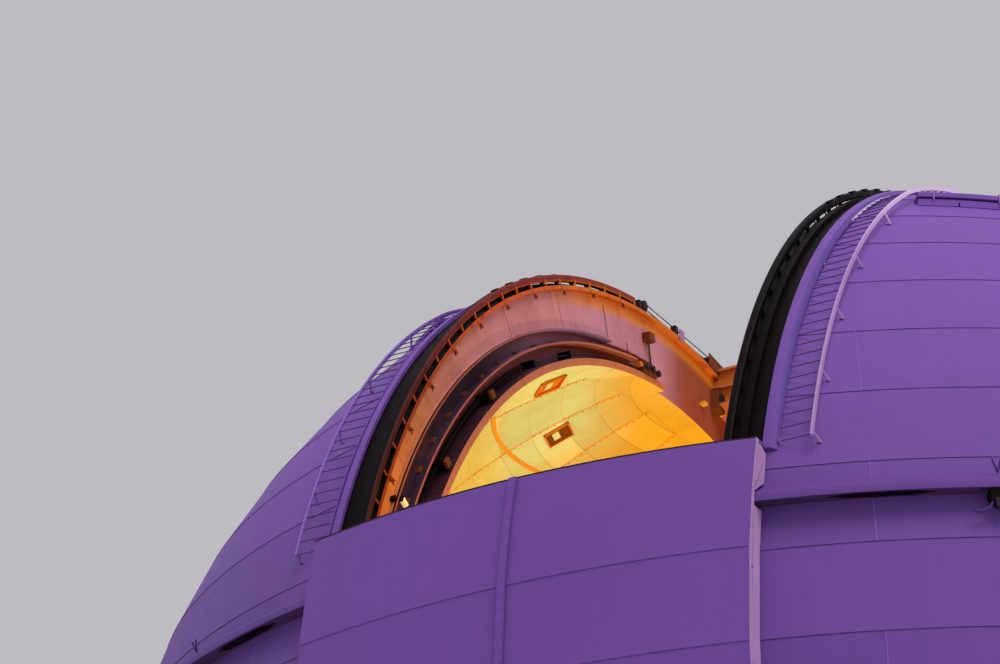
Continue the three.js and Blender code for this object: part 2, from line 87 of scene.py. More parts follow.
BOLT_PITCH = 1.15

# Fittings of the arches: arch angles, some with a radius or half width
SHEAVES, CABLES = (82.6, 89.6, 96.2), (83.4, 96.1)
CABLE_RADIUS = 0.012
WEB_BOX, WINCH, ROLLERS, LAMP = 83.2, 97.3, 82.8, 26.3
STOPS = ((94.7, 13.82, 0.08), (98.2, 14.06, 0.17))
BRACKETS = (24, 72, 4.1)
THICK_PIPE, THIN_PIPE = (8, 57, 2.0), (59, 77, 2.0)
RECESS_BOXES = ((35.4, 0.1), (47.6, 0.1), (58.2, 0.07), (66.2, 0.06))

# Guard along the arch
GUARD = (3.465, 3.62, 15.005, 15.145)
GUARD_MIDDLE = (GUARD[0] + GUARD[1]) / 2
GUARD_ANGLES = (20.7, 81.4)
POST_PITCH = 2.87
CLAMPS_FROM = 54.0

# Ladder beside the slit
LADDER = (4.39, 5.0, 14.89)
LADDER_ANGLES = (20.7, 68.6)
LADDER_BENDS_FROM, LADDER_PALE_FROM = 57.5, 50.0
RUNG_PITCH = math.degrees(0.305 / LADDER[2])
LADDER_POSTS = (20.9, 26.8, 33.8, 41.2, 50.2, 59.5)

# Front doors: radii, half width, heights and the angles where the plates bend
DOOR, DOOR_BACK = 16.0, 15.575
DOOR_PLATE = 0.06
DOOR_HALF, DOOR_SIDE = 4.245, 4.183
DOOR_BOTTOM, DOOR_TOP = -0.31, 5.18
DOOR_KINKS = (4.7, 10.9, 14.9)
DOOR_AZIMUTHS, DOOR_GAP = (-2.2, 17.6, 0.55), 0.008
DOOR_NOTCH = [(14.905, 4.43), (15.365, 4.11), (15.365, 3.86), (15.089, 3.86)]
STRIP_HALF, STRIP_LEFT, STRIP_PROUD = 0.093, -0.055, 0.055
SCREWS = (-0.6, 18.2, 0.9)

# Hoods over the doors' tracks, and the drives at their ends
HOOD_ANGLES = (15.2, 29.9)
HOOD_STEP = 0.7
HOOD = [(14.7, 4.485), (15.26, 4.135), (15.31, 4.09), (15.33, 4.03), (15.33, 3.95), (15.30, 3.95),
        (15.27, 4.0), (14.7, 4.36)]
HOOD_SLOT = (20.4, 27.2)
SLOT_RADIUS = 15.14
DRIVE_AZIMUTH, DRIVE_COVER_END = 30.9, 31.68
DRIVE = (15.41, 3.56, 4.26)

# Beam and gear where the slit ends
HEADER = (97.5, 98.6)
HEADER_RADII = (14.04, 14.77)
HEADER_PLATES = 99.2

# Main shutter, parked at the back
SHUTTER = (15.655, 15.78, 4.06)
SHUTTER_ANGLES = (99.6, 180.0)
SHUTTER_SIDE = (3.875, 14.98)
SHUTTER_PLATE = 5.75
SHUTTER_BEAM = (15.595, 3.86)

# Ring girder, wheels and building; heights of the girder are from the dome's centre
RING = (13.85, 15.48, -1.0, 0.18)
SKIRT = (14.9, 15.0, -1.9)
WALL = (14.25, 14.6, 18.0)
RING_BEAM = (13.95, 14.65, 18.5)
RAIL = (14.275, 14.425, 18.64)
WHEEL = (0.2, 0.13, 14.35, 12)
SILL_OUT, SILL_ANGLE = 16.06, 30
DOORWAY = (1.3, 2.75)
DOOR_PANELS, DOOR_HINGES = ((0.35, 1.15), (1.3, 2.45)), (0.35, 1.3, 2.3)
CLADDING_PITCH, CLADDING_DEPTH = 0.3, 0.035
FLASHINGS = (6.0, 12.0)
FIT = 0.0003

LEFTWARD, RIGHTWARD = (-1, 0, 0), (1, 0, 0)
CREASE = 28

# Gloss of every finish; grain and sheen of the steel, as scale and depth or range
GLOSS = 0.06
STEEL_GRAIN, STEEL_SHEEN, DULL_SHEEN = (6.0, 0.003), (5.0, 0.4, 0.7), (5.0, 0.45, 0.75)


def spread(start, end, step):
    """Evenly spaced values, both ends included."""
    count = max(1, round((end - start) / step))
    return [start + (end - start) * i / count for i in range(count + 1)]


def about(middle, half):
    return middle - half, middle + half


def level(radius, across):
    """Distance from an axis at which a circle of the radius lies, this far to the side."""
    return math.sqrt(radius ** 2 - across ** 2)


def arc(radius, half, step=0.4):
    return [(x, level(radius, x)) for x in spread(-half, half, step)]


def oblong(low, high, near, far):
    """Closed outline of a rectangle, in the two coordinates of a profile."""
    return [(low, near), (high, near), (high, far), (low, far)]


def direction(azimuth, elevation):
    """Azimuth runs from the front, -Y, towards +X; at azimuth 0 the elevation is the arch angle."""
    a, e = math.radians(azimuth), math.radians(elevation)
    return Vector((math.sin(a) * math.cos(e), -math.cos(a) * math.cos(e), math.sin(e)))


def around_z(radius, height, azimuth):
    return direction(azimuth, 0) * radius + Vector((0, 0, DOME_Z + height))


def around_x(x, radius, angle):
    return direction(0, angle) * radius + Vector((x, 0, DOME_Z))


def on_arch(angle):
    """Places (x, along the arch, radius) at an arch angle."""
    out, along = direction(0, angle), direction(0, angle + 90)
    return lambda x, s, radius: Vector((x, 0, DOME_Z)) + out * radius + along * s


def on_ring(azimuth):
    """Places (across, radius, height) at an azimuth."""
    out, across = direction(azimuth, 0), direction(azimuth + 90, 0)
    return lambda s, radius, height: across * s + out * radius + Vector((0, 0, DOME_Z + height))


def on_shell(azimuth, elevation):
    """Places (across, up the shell, outwards from the centre) at a point of a shell."""
    out, up = direction(azimuth, elevation), direction(azimuth, elevation + 90)
    across = direction(azimuth + 90, 0)
    return lambda s, t, radius: Vector((0, 0, DOME_Z)) + across * s + up * t + out * radius


def outwards(rise, angle):
    """How far a middle flange lies out at an arch angle; it comes in towards the top."""
    start, end, power = FLANGE_SPREAD
    along = min(max((angle - start) / (end - start), 0), 1)
    return rise * (1 - along ** power)


def link(name, data):
    made = bpy.data.objects.new(name, data)
    bpy.context.scene.collection.objects.link(made)
    return made


class Shape:
    """Points and faces that become one object; each face names one of its finishes."""

    def __init__(self, points=(), faces=(), marks=()):
        self.points, self.faces, self.marks = list(points), list(faces), list(marks)

    def add(self, points, faces, marks):
        start = len(self.points)
        self.points += [tuple(p) for p in points]
        self.faces += [tuple(start + i for i in face) for face in faces]
        self.marks += marks

    def tunnel(self, rings, finish=0, closed=False):
        """Joins rings of points one after another; finish may list one for each edge of a ring."""
        count, total = len(rings[0]), len(rings)
        edges = finish if isinstance(finish, list) else [finish] * count
        faces, marks = [], []
        for i in range(total if closed else total - 1):
            near, far = i * count, (i + 1) % total * count
            for j in range(count):
                k = (j + 1) % count
                faces.append((near + j, near + k, far + k, far + j))
            marks += edges
        if not closed:
            faces += [range(count)[::-1], range((total - 1) * count, total * count)]
            marks += [edges[0]] * 2
        self.add([p for ring in rings for p in ring], faces, marks)

    def sweep(self, profile, place, stations, finish=0, closed=False):
        self.tunnel([[place(u, v, s) for u, v in profile] for s in stations], finish, closed)

    def ring(self, profile, start, end, step=1.5, finish=0):
        """A profile of radius and height carried round the upright axis."""
        whole = end - start == 360
        self.sweep(profile, around_z, spread(start, end - step if whole else end, step), finish, whole)

    def arch(self, profile, start, end, step=1.5, finish=0):
        """A profile of x and radius carried along the arch."""
        self.sweep(profile, around_x, spread(start, end, step), finish)

    def block(self, xs, ys, zs, place=lambda x, y, z: (x, y, z), finish=0):
        """A box in a place; a range given as one number goes that far to both sides of 0."""
        xs, ys, zs = (r if isinstance(r, (tuple, list)) else (-r, r) for r in (xs, ys, zs))
        points = [place(x, y, z) for x in xs for y in ys for z in zs]
        faces = [(0, 1, 3, 2), (4, 6, 7, 5), (0, 4, 5, 1), (2, 3, 7, 6), (0, 2, 6, 4), (1, 5, 7, 3)]
        self.add(points, faces, [finish] * len(faces))

    def tube(self, route, radius, sides=8, finish=0):
        """A round bar through a list of points."""
        route = [Vector(p) for p in route]
        steps = [(b - a).normalized() for a, b in zip(route, route[1:])]
        heads = [steps[0]] + [(a + b).normalized() for a, b in zip(steps, steps[1:])] + [steps[-1]]
        turns = [2 * math.pi * i / sides for i in range(sides)]
        side = heads[0].orthogonal().normalized()
        rings = []
        for centre, head in zip(route, heads):
            side = (side - head * side.dot(head)).normalized()
            other = head.cross(side)
            rings.append([centre + (side * math.cos(a) + other * math.sin(a)) * radius for a in turns])
        self.tunnel(rings, finish)

    def axle(self, place, xs, along, height, radius, sides, finish=0):
        """A round bar straight across a place."""
        self.tube([place(x, along, height) for x in xs], radius, sides, finish)

    def mirrored(self):
        points = [(-x, y, z) for x, y, z in self.points]
        return Shape(points, [face[::-1] for face in self.faces], self.marks)

    def as_bmesh(self):
        work = bmesh.new()
        points = [work.verts.new(p) for p in self.points]
        for face, finish in zip(self.faces, self.marks):
            work.faces.new([points[i] for i in face]).material_index = finish
        return work

    def cut(self, point, away):
        """Takes off what lies beyond a plane, on the side that away points to, and closes the cut."""
        work = self.as_bmesh()
        everything = work.verts[:] + work.edges[:] + work.faces[:]
        made = bmesh.ops.bisect_plane(work, geom=everything, plane_co=point, plane_no=away,
                                      clear_outer=True)
        rim = [e for e in made["geom_cut"] if isinstance(e, bmesh.types.BMEdge)]
        bmesh.ops.triangle_fill(work, use_beauty=True, edges=rim)
        work.verts.index_update()
        self.points = [tuple(v.co) for v in work.verts]
        self.faces = [tuple(v.index for v in f.verts) for f in work.faces]
        self.marks = [f.material_index for f in work.faces]
        work.free()
        return self

    def piece(self, name, slot, finishes, replaces=(), body="dome"):
        """The finished object, riding on its body."""
        work = self.as_bmesh()
        bmesh.ops.recalc_face_normals(work, faces=work.faces[:])
        mesh = bpy.data.meshes.new(name)
        work.to_mesh(mesh)
        work.free()
        mesh.polygons.foreach_set("use_smooth", [True] * len(mesh.polygons))
        mesh.set_sharp_from_angle(angle=math.radians(CREASE))
        for finish in finishes:
            mesh.materials.append(finish)
        made = link(name, mesh)
        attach(made, body)
        if replaces:
            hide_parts(*replaces)


def pair(shape, name, slot, finishes, replaces=None, body="dome"):
    """The same piece on both sides of the slit; replaces names the pair of nodes it stands for."""
    for side, form in (("right", shape), ("left", shape.mirrored())):
        stands_for = [f"{replaces}_{side}"] if replaces else ()
        form.piece(f"{name}_{side}", slot, finishes, stands_for, body)


class Finish:
    """Node tree of one material, with short calls for what the finishes share."""

    def __init__(self, name, colour, roughness=0.5, metallic=0.0):
        self.material = bpy.data.materials.new(name)
        self.material.use_nodes = True
        self.tree = self.material.node_tree
        self.shader = self.tree.nodes["Principled BSDF"].inputs
        uniform = {"Base Color": (*colour, 1), "Roughness": roughness, "Metallic": metallic,
                   "Specular IOR Level": GLOSS}
        for socket, value in uniform.items():
            self.shader[socket].default_value = value
        self.where = self.node("TexCoord")["Object"]
        self.colour = self.node("RGB")[0]
        self.colour.default_value = (*colour, 1)

    def feed(self, socket, value):
        if isinstance(value, bpy.types.NodeSocket):
            self.tree.links.new(value, socket)
        else:
            socket.default_value = value

    def node(self, kind, inputs=(), **settings):
        """Outputs of a new node; inputs are listed in order, or named by what they are called."""
        made = self.tree.nodes.new("ShaderNode" + kind)
        for key, value in settings.items():
            setattr(made, key, value)
        for key, value in inputs.items() if isinstance(inputs, dict) else enumerate(inputs):
            self.feed(made.inputs[key], value)
        return made.outputs

    def math(self, operation, *values):
        return self.node("Math", values, operation=operation)[0]

    def between(self, *values):
        """Smooth step of a value from low to high, as 0 to 1 or as the two further numbers."""
        return self.node("MapRange", values, interpolation_type="SMOOTHSTEP")[0]

    def ramp(self, value, low, high):
        return self.math("MULTIPLY_ADD", value, high - low, low)

    def noise(self, scale, detail=5.0, stretch=(1, 1, 1), where=None):
        place = self.node("Mapping", {"Scale": stretch, "Vector": where or self.where})[0]
        settings = {"Scale": scale, "Detail": detail, "Roughness": 0.55, "Vector": place}
        return self.node("TexNoise", settings)["Fac"]

    def tint(self, factor, colour):
        """Moves the finish's colour towards another one by a factor."""
        self.colour = self.node("Mix", {0: factor, 6: self.colour, 7: (*colour, 1)}, data_type="RGBA")[2]

    def fade(self, value, low, high, colour, at_low=0.0, at_high=1.0):
        self.tint(self.between(value, low, high, at_low, at_high), colour)

    def spots(self, scale, detail, low, high, share, colour, stretch=(1, 1, 1)):
        """Spots of another colour, where the noise lies above low."""
        self.fade(self.noise(scale, detail, stretch), low, high, colour, 0.0, share)

    def shade(self, value, low, high):
        """Scales the finish's colour from low to high as value goes from 0 to 1."""
        inputs = {0: self.colour, "Scale": self.ramp(value, low, high)}
        self.colour = self.node("VectorMath", inputs, operation="SCALE")[0]

    def patches(self, scale, low, high, detail=5.0, stretch=(1, 1, 1)):
        self.shade(self.noise(scale, detail, stretch), low, high)

    def streaks(self, detail, width, start, end, low, high=1.0):
        """Upright marks, as dark as low, where the noise lies between start and end."""
        marks = self.noise(1.0, detail, (width[0], width[0], width[1]))
        self.shade(self.between(marks, start, end), high, low)

    def axes(self):
        """The place as x, y and the height above the dome's centre."""
        x, y, z = self.node("SeparateXYZ", [self.where])
        return x, y, self.math("SUBTRACT", z, DOME_Z)

    def degrees(self, over, along):
        return self.math("MULTIPLY", self.math("ARCTAN2", over, along), math.degrees(1))

    def distance(self, first, second):
        squares = [self.math("POWER", value, 2.0) for value in (first, second)]
        return self.math("SQRT", self.math("ADD", *squares))

    def azimuth(self):
        x, y, _ = self.axes()
        return self.degrees(x, self.math("MULTIPLY", y, -1.0))

    def elevation(self):
        x, y, z = self.axes()
        return self.degrees(z, self.distance(x, y))

    def arch_angle(self):
        _, y, z = self.axes()
        return self.degrees(z, self.math("MULTIPLY", y, -1.0))

    def arch_radius(self):
        _, y, z = self.axes()
        return self.distance(y, z)

    def near_multiple(self, value, start, period, width):
        """1 on lines at start and every period from it, fading to 0 at the width."""
        away = self.math("PINGPONG", self.math("SUBTRACT", value, start), period / 2)
        return self.between(away, width * 0.4, width, 1.0, 0.0)

    def cell(self, value, start, period):
        return self.math("FLOOR", self.math("DIVIDE", self.math("SUBTRACT", value, start), period))

    def scatter(self, first, second):
        """A value from 0 to 1 that differs from cell to cell."""
        joined = self.node("CombineXYZ", [first, second])[0]
        return self.node("TexWhiteNoise", {"Vector": joined}, noise_dimensions="2D")["Value"]

    def rust_runs(self, angle, radius, strength):
        """Rust that has run down the plate, along the arch's radius."""
        runs = [self.math("MULTIPLY", angle, 0.9), self.math("MULTIPLY", radius, 0.35), self.axes()[0]]
        marks = self.noise(2.2, 7.0, where=self.node("CombineXYZ", runs)[0])
        self.fade(marks, 0.54, 0.8, RUST, 0.0, strength)

    def done(self, bump=None, rough=None):
        """bump is a grain's scale, depth and maybe detail; rough is the scale and range of the sheen."""
        if bump:
            scale, depth, *detail = bump
            height = self.noise(scale, *detail)
            normal = self.node("Bump", {"Distance": depth, "Height": height})[0]
            self.feed(self.shader["Normal"], normal)
        if rough:
            scale, low, high = rough
            self.feed(self.shader["Roughness"], self.ramp(self.noise(scale), low, high))
        self.feed(self.shader["Base Color"], self.colour)
        return self.material


def scaled(colour, factor):
    return tuple(c * factor for c in colour)


# Colours, linear. The violets of the skin, doors, hood and walls stand for white paint: their violet tint
# and darkness are painted dusk light
VIOLET = (0.160, 0.073, 0.318)
VIOLET_DARK = (0.080, 0.032, 0.175)
VIOLET_PALE = (0.36, 0.20, 0.44)
SIDE_PAINTED_LIGHT = (0.46, 0.26, 0.50)
# Painted shade of the curb's sloping side
CURB_PAINTED_SHADE = (0.125, 0.065, 0.300)
HOOD_VIOLET = (0.125, 0.056, 0.25)
WALL_VIOLET = (0.24, 0.145, 0.40)
CONCRETE = (0.24, 0.19, 0.27)
WEB_PINK = (0.62, 0.27, 0.30)
WEB_UPPER = (0.58, 0.28, 0.40)
WEB_PAINTED_LAMPLIGHT = (0.54, 0.20, 0.05)
WEB_BROWN = (0.34, 0.08, 0.04)
WEB_RIM_PAINTED_GLOW = (0.85, 0.28, 0.01)
FLANGE_RED = (0.36, 0.11, 0.09)
ORANGE_STEEL = (0.60, 0.17, 0.03)
RUST = (0.20, 0.05, 0.02)
GUARD_RED = (0.20, 0.024, 0.024)
BRIGHT_RED = (0.60, 0.10, 0.02)
BLACK = (0.003, 0.0012, 0.002)
SOOT = (0.009, 0.0035, 0.005)
RECESS_BROWN = (0.30, 0.12, 0.15)
GOLD = (0.70, 0.80, 0.38)
DEEP_GOLD = (0.70, 0.58, 0.13)
ORANGE_GOLD = (0.82, 0.45, 0.02)
GREY = (0.17, 0.13, 0.23)
DOOR_GREY = (0.10, 0.08, 0.18)
YELLOW = (0.80, 0.42, 0.05)


def skin_finish():
    """Weathered plates, a little different from each other and darker in the seams, with painted shade low
    down and painted skylight higher up.
    """
    made = Finish("skin_paint", VIOLET)
    azimuth, elevation = made.azimuth(), made.elevation()
    ring = made.cell(elevation, RING_FROM, RING_STEP)
    shift = made.math("MULTIPLY", ring, SEAM_SPACING / 2)
    plate = made.cell(made.math("ADD", azimuth, shift), SEAM_AZIMUTH, SEAM_SPACING)
    made.shade(made.scatter(ring, plate), 0.96, 1.04)
    # Painted skylight and shade: the plates get lighter with height
    made.shade(made.between(elevation, 5.0, 55.0), 0.88, 1.22)
    made.patches(0.35, 0.93, 1.07, 3.0)
    made.streaks(6.0, (3.2, 0.22), 0.5, 0.8, 0.93)
    made.patches(14.0, 0.97, 1.03, 3.0)
    made.shade(made.near_multiple(elevation, RING_FROM, RING_STEP, 0.04), 1.0, 0.68)
    return made.done(bump=(2.2, 0.004, 4.0), rough=(3.0, 0.42, 0.6))


def plain_paint(name, colour, roughness=0.5, patches=0.12, scale=2.0):
    """Paint with soft patches, fine grain and vertical marks."""
    made = Finish(name, colour, roughness)
    made.patches(scale * 0.3, *about(1, patches), 4.0)
    made.patches(scale, *about(1, patches * 0.6), stretch=(2.5, 2.5, 0.3))
    made.patches(scale * 8, 0.96, 1.04)
    return made.done(bump=(scale * 5, 0.002))


def curb_shade_finish():
    """Painted shade: a bluer colour on the curb's sloping side beside the slit and on the ladder's lower
    inner stringer, fading into the skin's colour low down.
    """
    made = Finish("curb_paint", CURB_PAINTED_SHADE)
    made.fade(made.axes()[2], 4.6, 7.0, VIOLET, 1.0, 0.0)
    made.patches(0.6, 0.93, 1.07, 4.0)
    made.patches(16.0, 0.97, 1.03)
    return made.done(bump=(10.0, 0.002))


def ladder_finish():
    """Pale paint, with a painted highlight towards the top on the right and painted shade on the left."""
    made = Finish("ladder_paint", (0.44, 0.27, 0.54), 0.4)
    x, _, z = made.axes()
    # Painted highlight towards the top
    made.fade(z, 9.5, 13.0, (0.85, 0.66, 0.88))
    # Painted shade on the left side
    made.fade(x, -1.0, 1.0, (0.24, 0.13, 0.44), 1.0, 0.0)
    made.patches(1.5, 0.9, 1.08)
    made.patches(30.0, 0.95, 1.04)
    return made.done(rough=(8.0, 0.35, 0.55))


def door_finish():
    """The skin's paint with fine upright marks and dirt above the sill."""
    made = Finish("door_skin_paint", scaled(VIOLET, 0.94))
    made.patches(0.3, 0.94, 1.06, 3.0)
    made.patches(1.0, 0.96, 1.04, 6.0, (4.0, 4.0, 0.2))
    dirt = made.between(made.noise(1.2, 6.0, (6, 6, 0.3)), 0.62, 0.82)
    near_sill = made.between(made.axes()[2], 0.2, 1.3, 0.4, 0.0)
    made.tint(made.math("MULTIPLY", dirt, near_sill), scaled(VIOLET_DARK, 0.6))
    made.patches(16.0, 0.97, 1.03)
    return made.done(bump=(1.6, 0.005, 3.0), rough=(3.0, 0.42, 0.58))


def web_finish():
    """Faded primer: painted orange lamplight low down, pink above, brown where the slit ends, with runs of
    rust and a painted orange glow at the rim under the outer flange.
    """
    made = Finish("web_steel", WEB_PINK, 0.5, 0.1)
    angle, radius = made.arch_angle(), made.arch_radius()
    made.fade(angle, 62.0, 76.0, WEB_UPPER)
    # Painted lamplight: orange low on the web
    made.fade(angle, 26.0, 56.0, WEB_PAINTED_LAMPLIGHT, 1.0, 0.0)
    made.fade(angle, 84.0, 92.0, WEB_BROWN)
    made.spots(0.5, 5.0, 0.4, 0.75, 0.35, FLANGE_RED)
    made.rust_runs(angle, radius, 0.55)
    # Painted glow along the rim under the outer flange, high on the arch
    rim = made.math("MULTIPLY", made.between(radius, 14.42, 14.66), made.between(angle, 62.0, 74.0))
    made.tint(made.math("MULTIPLY", rim, 0.85), WEB_RIM_PAINTED_GLOW)
    made.patches(1.4, 0.78, 1.14, 6.0)
    made.shade(made.near_multiple(angle, 2.0, 7.3, 0.05), 1.0, 0.85)
    made.patches(20.0, 0.94, 1.05)
    return made.done(STEEL_GRAIN, STEEL_SHEEN)


def flange_finish():
    """Brown primer on the flanges' edges, more orange towards the top."""
    made = Finish("flange_steel", FLANGE_RED, 0.5, 0.1)
    angle, radius = made.arch_angle(), made.arch_radius()
    made.fade(radius, 13.37, 13.45, (0.50, 0.17, 0.10), 1.0, 0.0)
    made.fade(angle, 60.0, 75.0, (0.62, 0.20, 0.06), 0.0, 0.6)
    made.rust_runs(angle, radius, 0.4)
    made.patches(1.8, 0.8, 1.15, 6.0)
    made.patches(20.0, 0.93, 1.05)
    return made.done(STEEL_GRAIN, STEEL_SHEEN)


def recess_finish():
    """Brown between the flanges, browner under the outer one, paler and pinker towards the top, with painted
    shade deep in the recess low on the arch.
    """
    made = Finish("recess_steel", RECESS_BROWN, 0.55)
    angle, radius = made.arch_angle(), made.arch_radius()
    made.fade(angle, 40.0, 66.0, (0.24, 0.07, 0.05), 1.0, 0.0)
    made.fade(angle, 54.0, 68.0, (0.26, 0.14, 0.28), 0.0, 0.8)
    # Painted shade deep in the recess, low on the arch
    low_painted_shade = made.math("MULTIPLY", made.between(radius, 13.46, 13.58, 0.95, 0.0),
                         made.between(angle, 52.0, 66.0, 1.0, 0.0))
    made.tint(low_painted_shade, (0.02, 0.008, 0.018))
    made.rust_runs(angle, radius, 0.4)
    made.patches(1.2, 0.75, 1.2, 6.0)
    return made.done(STEEL_GRAIN, DULL_SHEEN)


def groove_shade_finish():
    """Painted shade: black in the groove between the middle flanges, fading to violet towards the top, with
    brown spots.
    """
    made = Finish("groove_steel", (0.035, 0.018, 0.04), 0.55)
    made.fade(made.arch_angle(), 48.0, 62.0, (0.34, 0.18, 0.32), 0.0, 0.85)
    made.spots(1.5, 7.0, 0.5, 0.8, 0.5, (0.12, 0.04, 0.03))
    made.patches(1.0, 0.7, 1.3)
    return made.done(rough=DULL_SHEEN)


def beam_finish():
    """Orange primer with rust."""
    made = Finish("beam_steel", ORANGE_STEEL, 0.5, 0.1)
    made.patches(0.8, 0.75, 1.15, 6.0)
    made.spots(2.5, 7.0, 0.52, 0.78, 0.5, RUST)
    return made.done(STEEL_GRAIN, STEEL_SHEEN)


def lining_finish():
    """Yellow boards, each a little different, dusty along their joints; their gold is partly painted warm
    lamplight, deeper gold low down and orange high up and to the back.
    """
    made = Finish("lining_boards", GOLD, 0.6)
    azimuth, elevation = made.azimuth(), made.elevation()
    row, column = made.cell(elevation, BOARD_FROM, BOARD_ROW), made.cell(azimuth, 0.0, BOARD_SPAN)
    # Painted lamplight: the boards' colour shifts with height and towards the back
    made.fade(elevation, 56.0, 61.0, DEEP_GOLD, 0.85, 0.0)
    made.spots(1.3, 7.0, 0.4, 0.7, 0.4, DEEP_GOLD, (1.0, 1.0, 0.6))
    made.fade(elevation, 66.0, 72.5, ORANGE_GOLD, 0.0, 0.85)
    made.fade(made.axes()[1], -1.8, 1.2, ORANGE_GOLD, 0.0, 0.95)
    made.shade(made.scatter(row, column), 0.86, 1.05)
    made.patches(1.6, 0.86, 1.1, 6.0)
    made.patches(9.0, 0.94, 1.05, 4.0)
    joint = made.near_multiple(elevation, BOARD_FROM, BOARD_ROW, 0.07)
    made.tint(made.math("MULTIPLY", joint, 0.4), scaled(ORANGE_GOLD, 0.7))
    return made.done(bump=(3.0, 0.01, 6.0), rough=(4.0, 0.45, 0.75))


def worn_paint(name, colour, under, wear=0.45, scale=3.0, roughness=0.5):
    """Paint worn through in spots to what is under it."""
    made = Finish(name, colour, roughness, 0.1)
    made.patches(scale * 0.4, 0.8, 1.2)
    made.spots(scale, 8.0, 1.05 - wear, 1.2 - wear, 1.0, under)
    return made.done(bump=(scale * 4, 0.003), rough=(scale * 2, 0.35, 0.7))


def arch_paint(name, colour, under, low_shade, upper):
    """Worn paint along the arch, with painted shade low down and another tone towards the top."""
    made = Finish(name, colour, 0.5, 0.1)
    angle = made.arch_angle()
    made.fade(angle, 58.0, 74.0, upper)
    made.patches(1.2, 0.8, 1.2)
    made.spots(3.0, 8.0, 0.55, 0.7, 0.8, under)
    # Painted shade: darker low on the arch
    made.shade(made.between(angle, 25.0, 60.0), low_shade, 1.0)
    return made.done(bump=(12.0, 0.003), rough=(6.0, 0.35, 0.7))


def concrete_finish():
    """Pitted grey with dark runs."""
    made = Finish("concrete", CONCRETE, 0.85)
    made.patches(0.5, 0.75, 1.2, 8.0)
    made.patches(12.0, 0.85, 1.1, 8.0)
    made.streaks(6.0, (3, 0.2), 0.55, 0.8, 0.8)
    return made.done(bump=(18.0, 0.006, 8.0))


def cladding_finish():
    """Ribbed metal sheets: dusty at the foot, streaked under the flashings."""
    made = Finish("wall_cladding", WALL_VIOLET)
    azimuth, z = made.azimuth(), made.axes()[2]
    sheet, course = made.cell(azimuth, 0.0, 3.6), made.cell(z, -DOME_Z, FLASHINGS[0])
    made.shade(made.scatter(sheet, course), 0.95, 1.04)
    made.patches(0.4, 0.9, 1.1, 4.0)
    made.streaks(7.0, (3, 0.12), 0.52, 0.8, 0.86)
    made.shade(made.between(z, -DOME_Z, 1.6 - DOME_Z, 1.0, 0.0), 1.0, 0.78)
    return made.done(bump=(8.0, 0.002), rough=(3.0, 0.4, 0.65))


def glow_finish():
    """Warm glass of the small lamp."""
    made = Finish("lamp_glass", (0.9, 0.6, 0.25), 0.3)
    made.shader["Emission Color"].default_value = (1.0, 0.62, 0.22, 1)
    made.shader["Emission Strength"].default_value = 0.7
    made.patches(30.0, 0.9, 1.05)
    return made.done()


skin_paint = skin_finish()
door_paint = door_finish()
edge_paint = plain_paint("edge_paint", VIOLET_PALE, 0.45)
# The doors' side returns are paler: painted highlight from the light on that side
side_paint = plain_paint("side_paint", SIDE_PAINTED_LIGHT, 0.45)
curb_paint = curb_shade_finish()
strap_paint = plain_paint("strap_paint", scaled(VIOLET, 1.3), 0.5, 0.06)
joint_paint = plain_paint("joint_paint", VIOLET_DARK, 0.6, 0.1, 4.0)
hood_paint = plain_paint("hood_paint", HOOD_VIOLET, 0.5, 0.06)
# Darker paint under the hood: painted shade
hood_under = plain_paint("hood_under", (0.085, 0.035, 0.10), 0.6, 0.15)
ladder_paint = ladder_finish()
# Dark rungs and foot plates: painted shade
rung_paint = plain_paint("rung_paint", (0.095, 0.045, 0.17), 0.55, 0.1, 4.0)
web_steel = web_finish()
recess_steel = recess_finish()
groove_steel = groove_shade_finish()
flange_steel = flange_finish()
beam_steel = beam_finish()
guard_paint = arch_paint("guard_paint", GUARD_RED, (0.08, 0.012, 0.014), 0.16, (0.26, 0.04, 0.02))
bracket_paint = arch_paint("bracket_paint", BRIGHT_RED, (0.35, 0.035, 0.015), 0.3, (0.62, 0.17, 0.025))
hook_paint = worn_paint("hook_paint", (0.12, 0.012, 0.008), (0.05, 0.008, 0.008))
black_steel = worn_paint("black_steel", BLACK, SOOT, 0.45, 2.0, 0.7)
dark_steel = worn_paint("dark_steel", (0.030, 0.018, 0.024), (0.09, 0.03, 0.018))
brown_steel = worn_paint("brown_steel", (0.16, 0.045, 0.012), (0.06, 0.018, 0.01))
grey_steel = worn_paint("grey_steel", GREY, (0.13, 0.07, 0.06), 0.35)
yellow_paint = worn_paint("yellow_paint", YELLOW, (0.35, 0.12, 0.02))
lining_boards = lining_finish()
lining_rib = worn_paint("lining_rib", (0.88, 0.36, 0.03), (0.7, 0.24, 0.02))
vent_paint = worn_paint("vent_paint", (0.75, 0.22, 0.01), (0.4, 0.1, 0.01))
vent_dark = worn_paint("vent_dark", (0.20, 0.06, 0.01), (0.1, 0.03, 0.01), 0.5)
concrete = concrete_finish()
wall_cladding = cladding_finish()
entrance_paint = plain_paint("entrance_paint", DOOR_GREY, 0.4, 0.1, 5.0)
lamp_glass = glow_finish()


def ring_elevation(k):
    return RING_FROM + RING_STEP * k


def at_step(k):
    return ARCH_FROM + ARCH_CAD_STEP * k


def shell_point(radius, degrees):
    a = math.radians(degrees)
    return radius * math.cos(a), radius * math.sin(a)


def foot_point(radius):
    return level(radius, FOOT), FOOT


def skin_shape(first, last, start, end):
    """Rings of plates whose lower edges stand proud of the ring below, and a plain inner face."""
    rings = [ring_elevation(k) for k in range(first, last + 1)]
    low = foot_point if first == 0 else lambda radius: shell_point(radius, rings[0])
    outer = [low(SKIN)]
    for above in rings[1:]:
        outer += [shell_point(SKIN - PLATE_LAP, above), shell_point(SKIN, above)]
    inner = [shell_point(SKIN_IN, e) for e in rings[:0:-1]]
    shape = Shape()
    shape.ring(outer[:-1] + inner + [low(SKIN_IN)], start, end)
    return shape


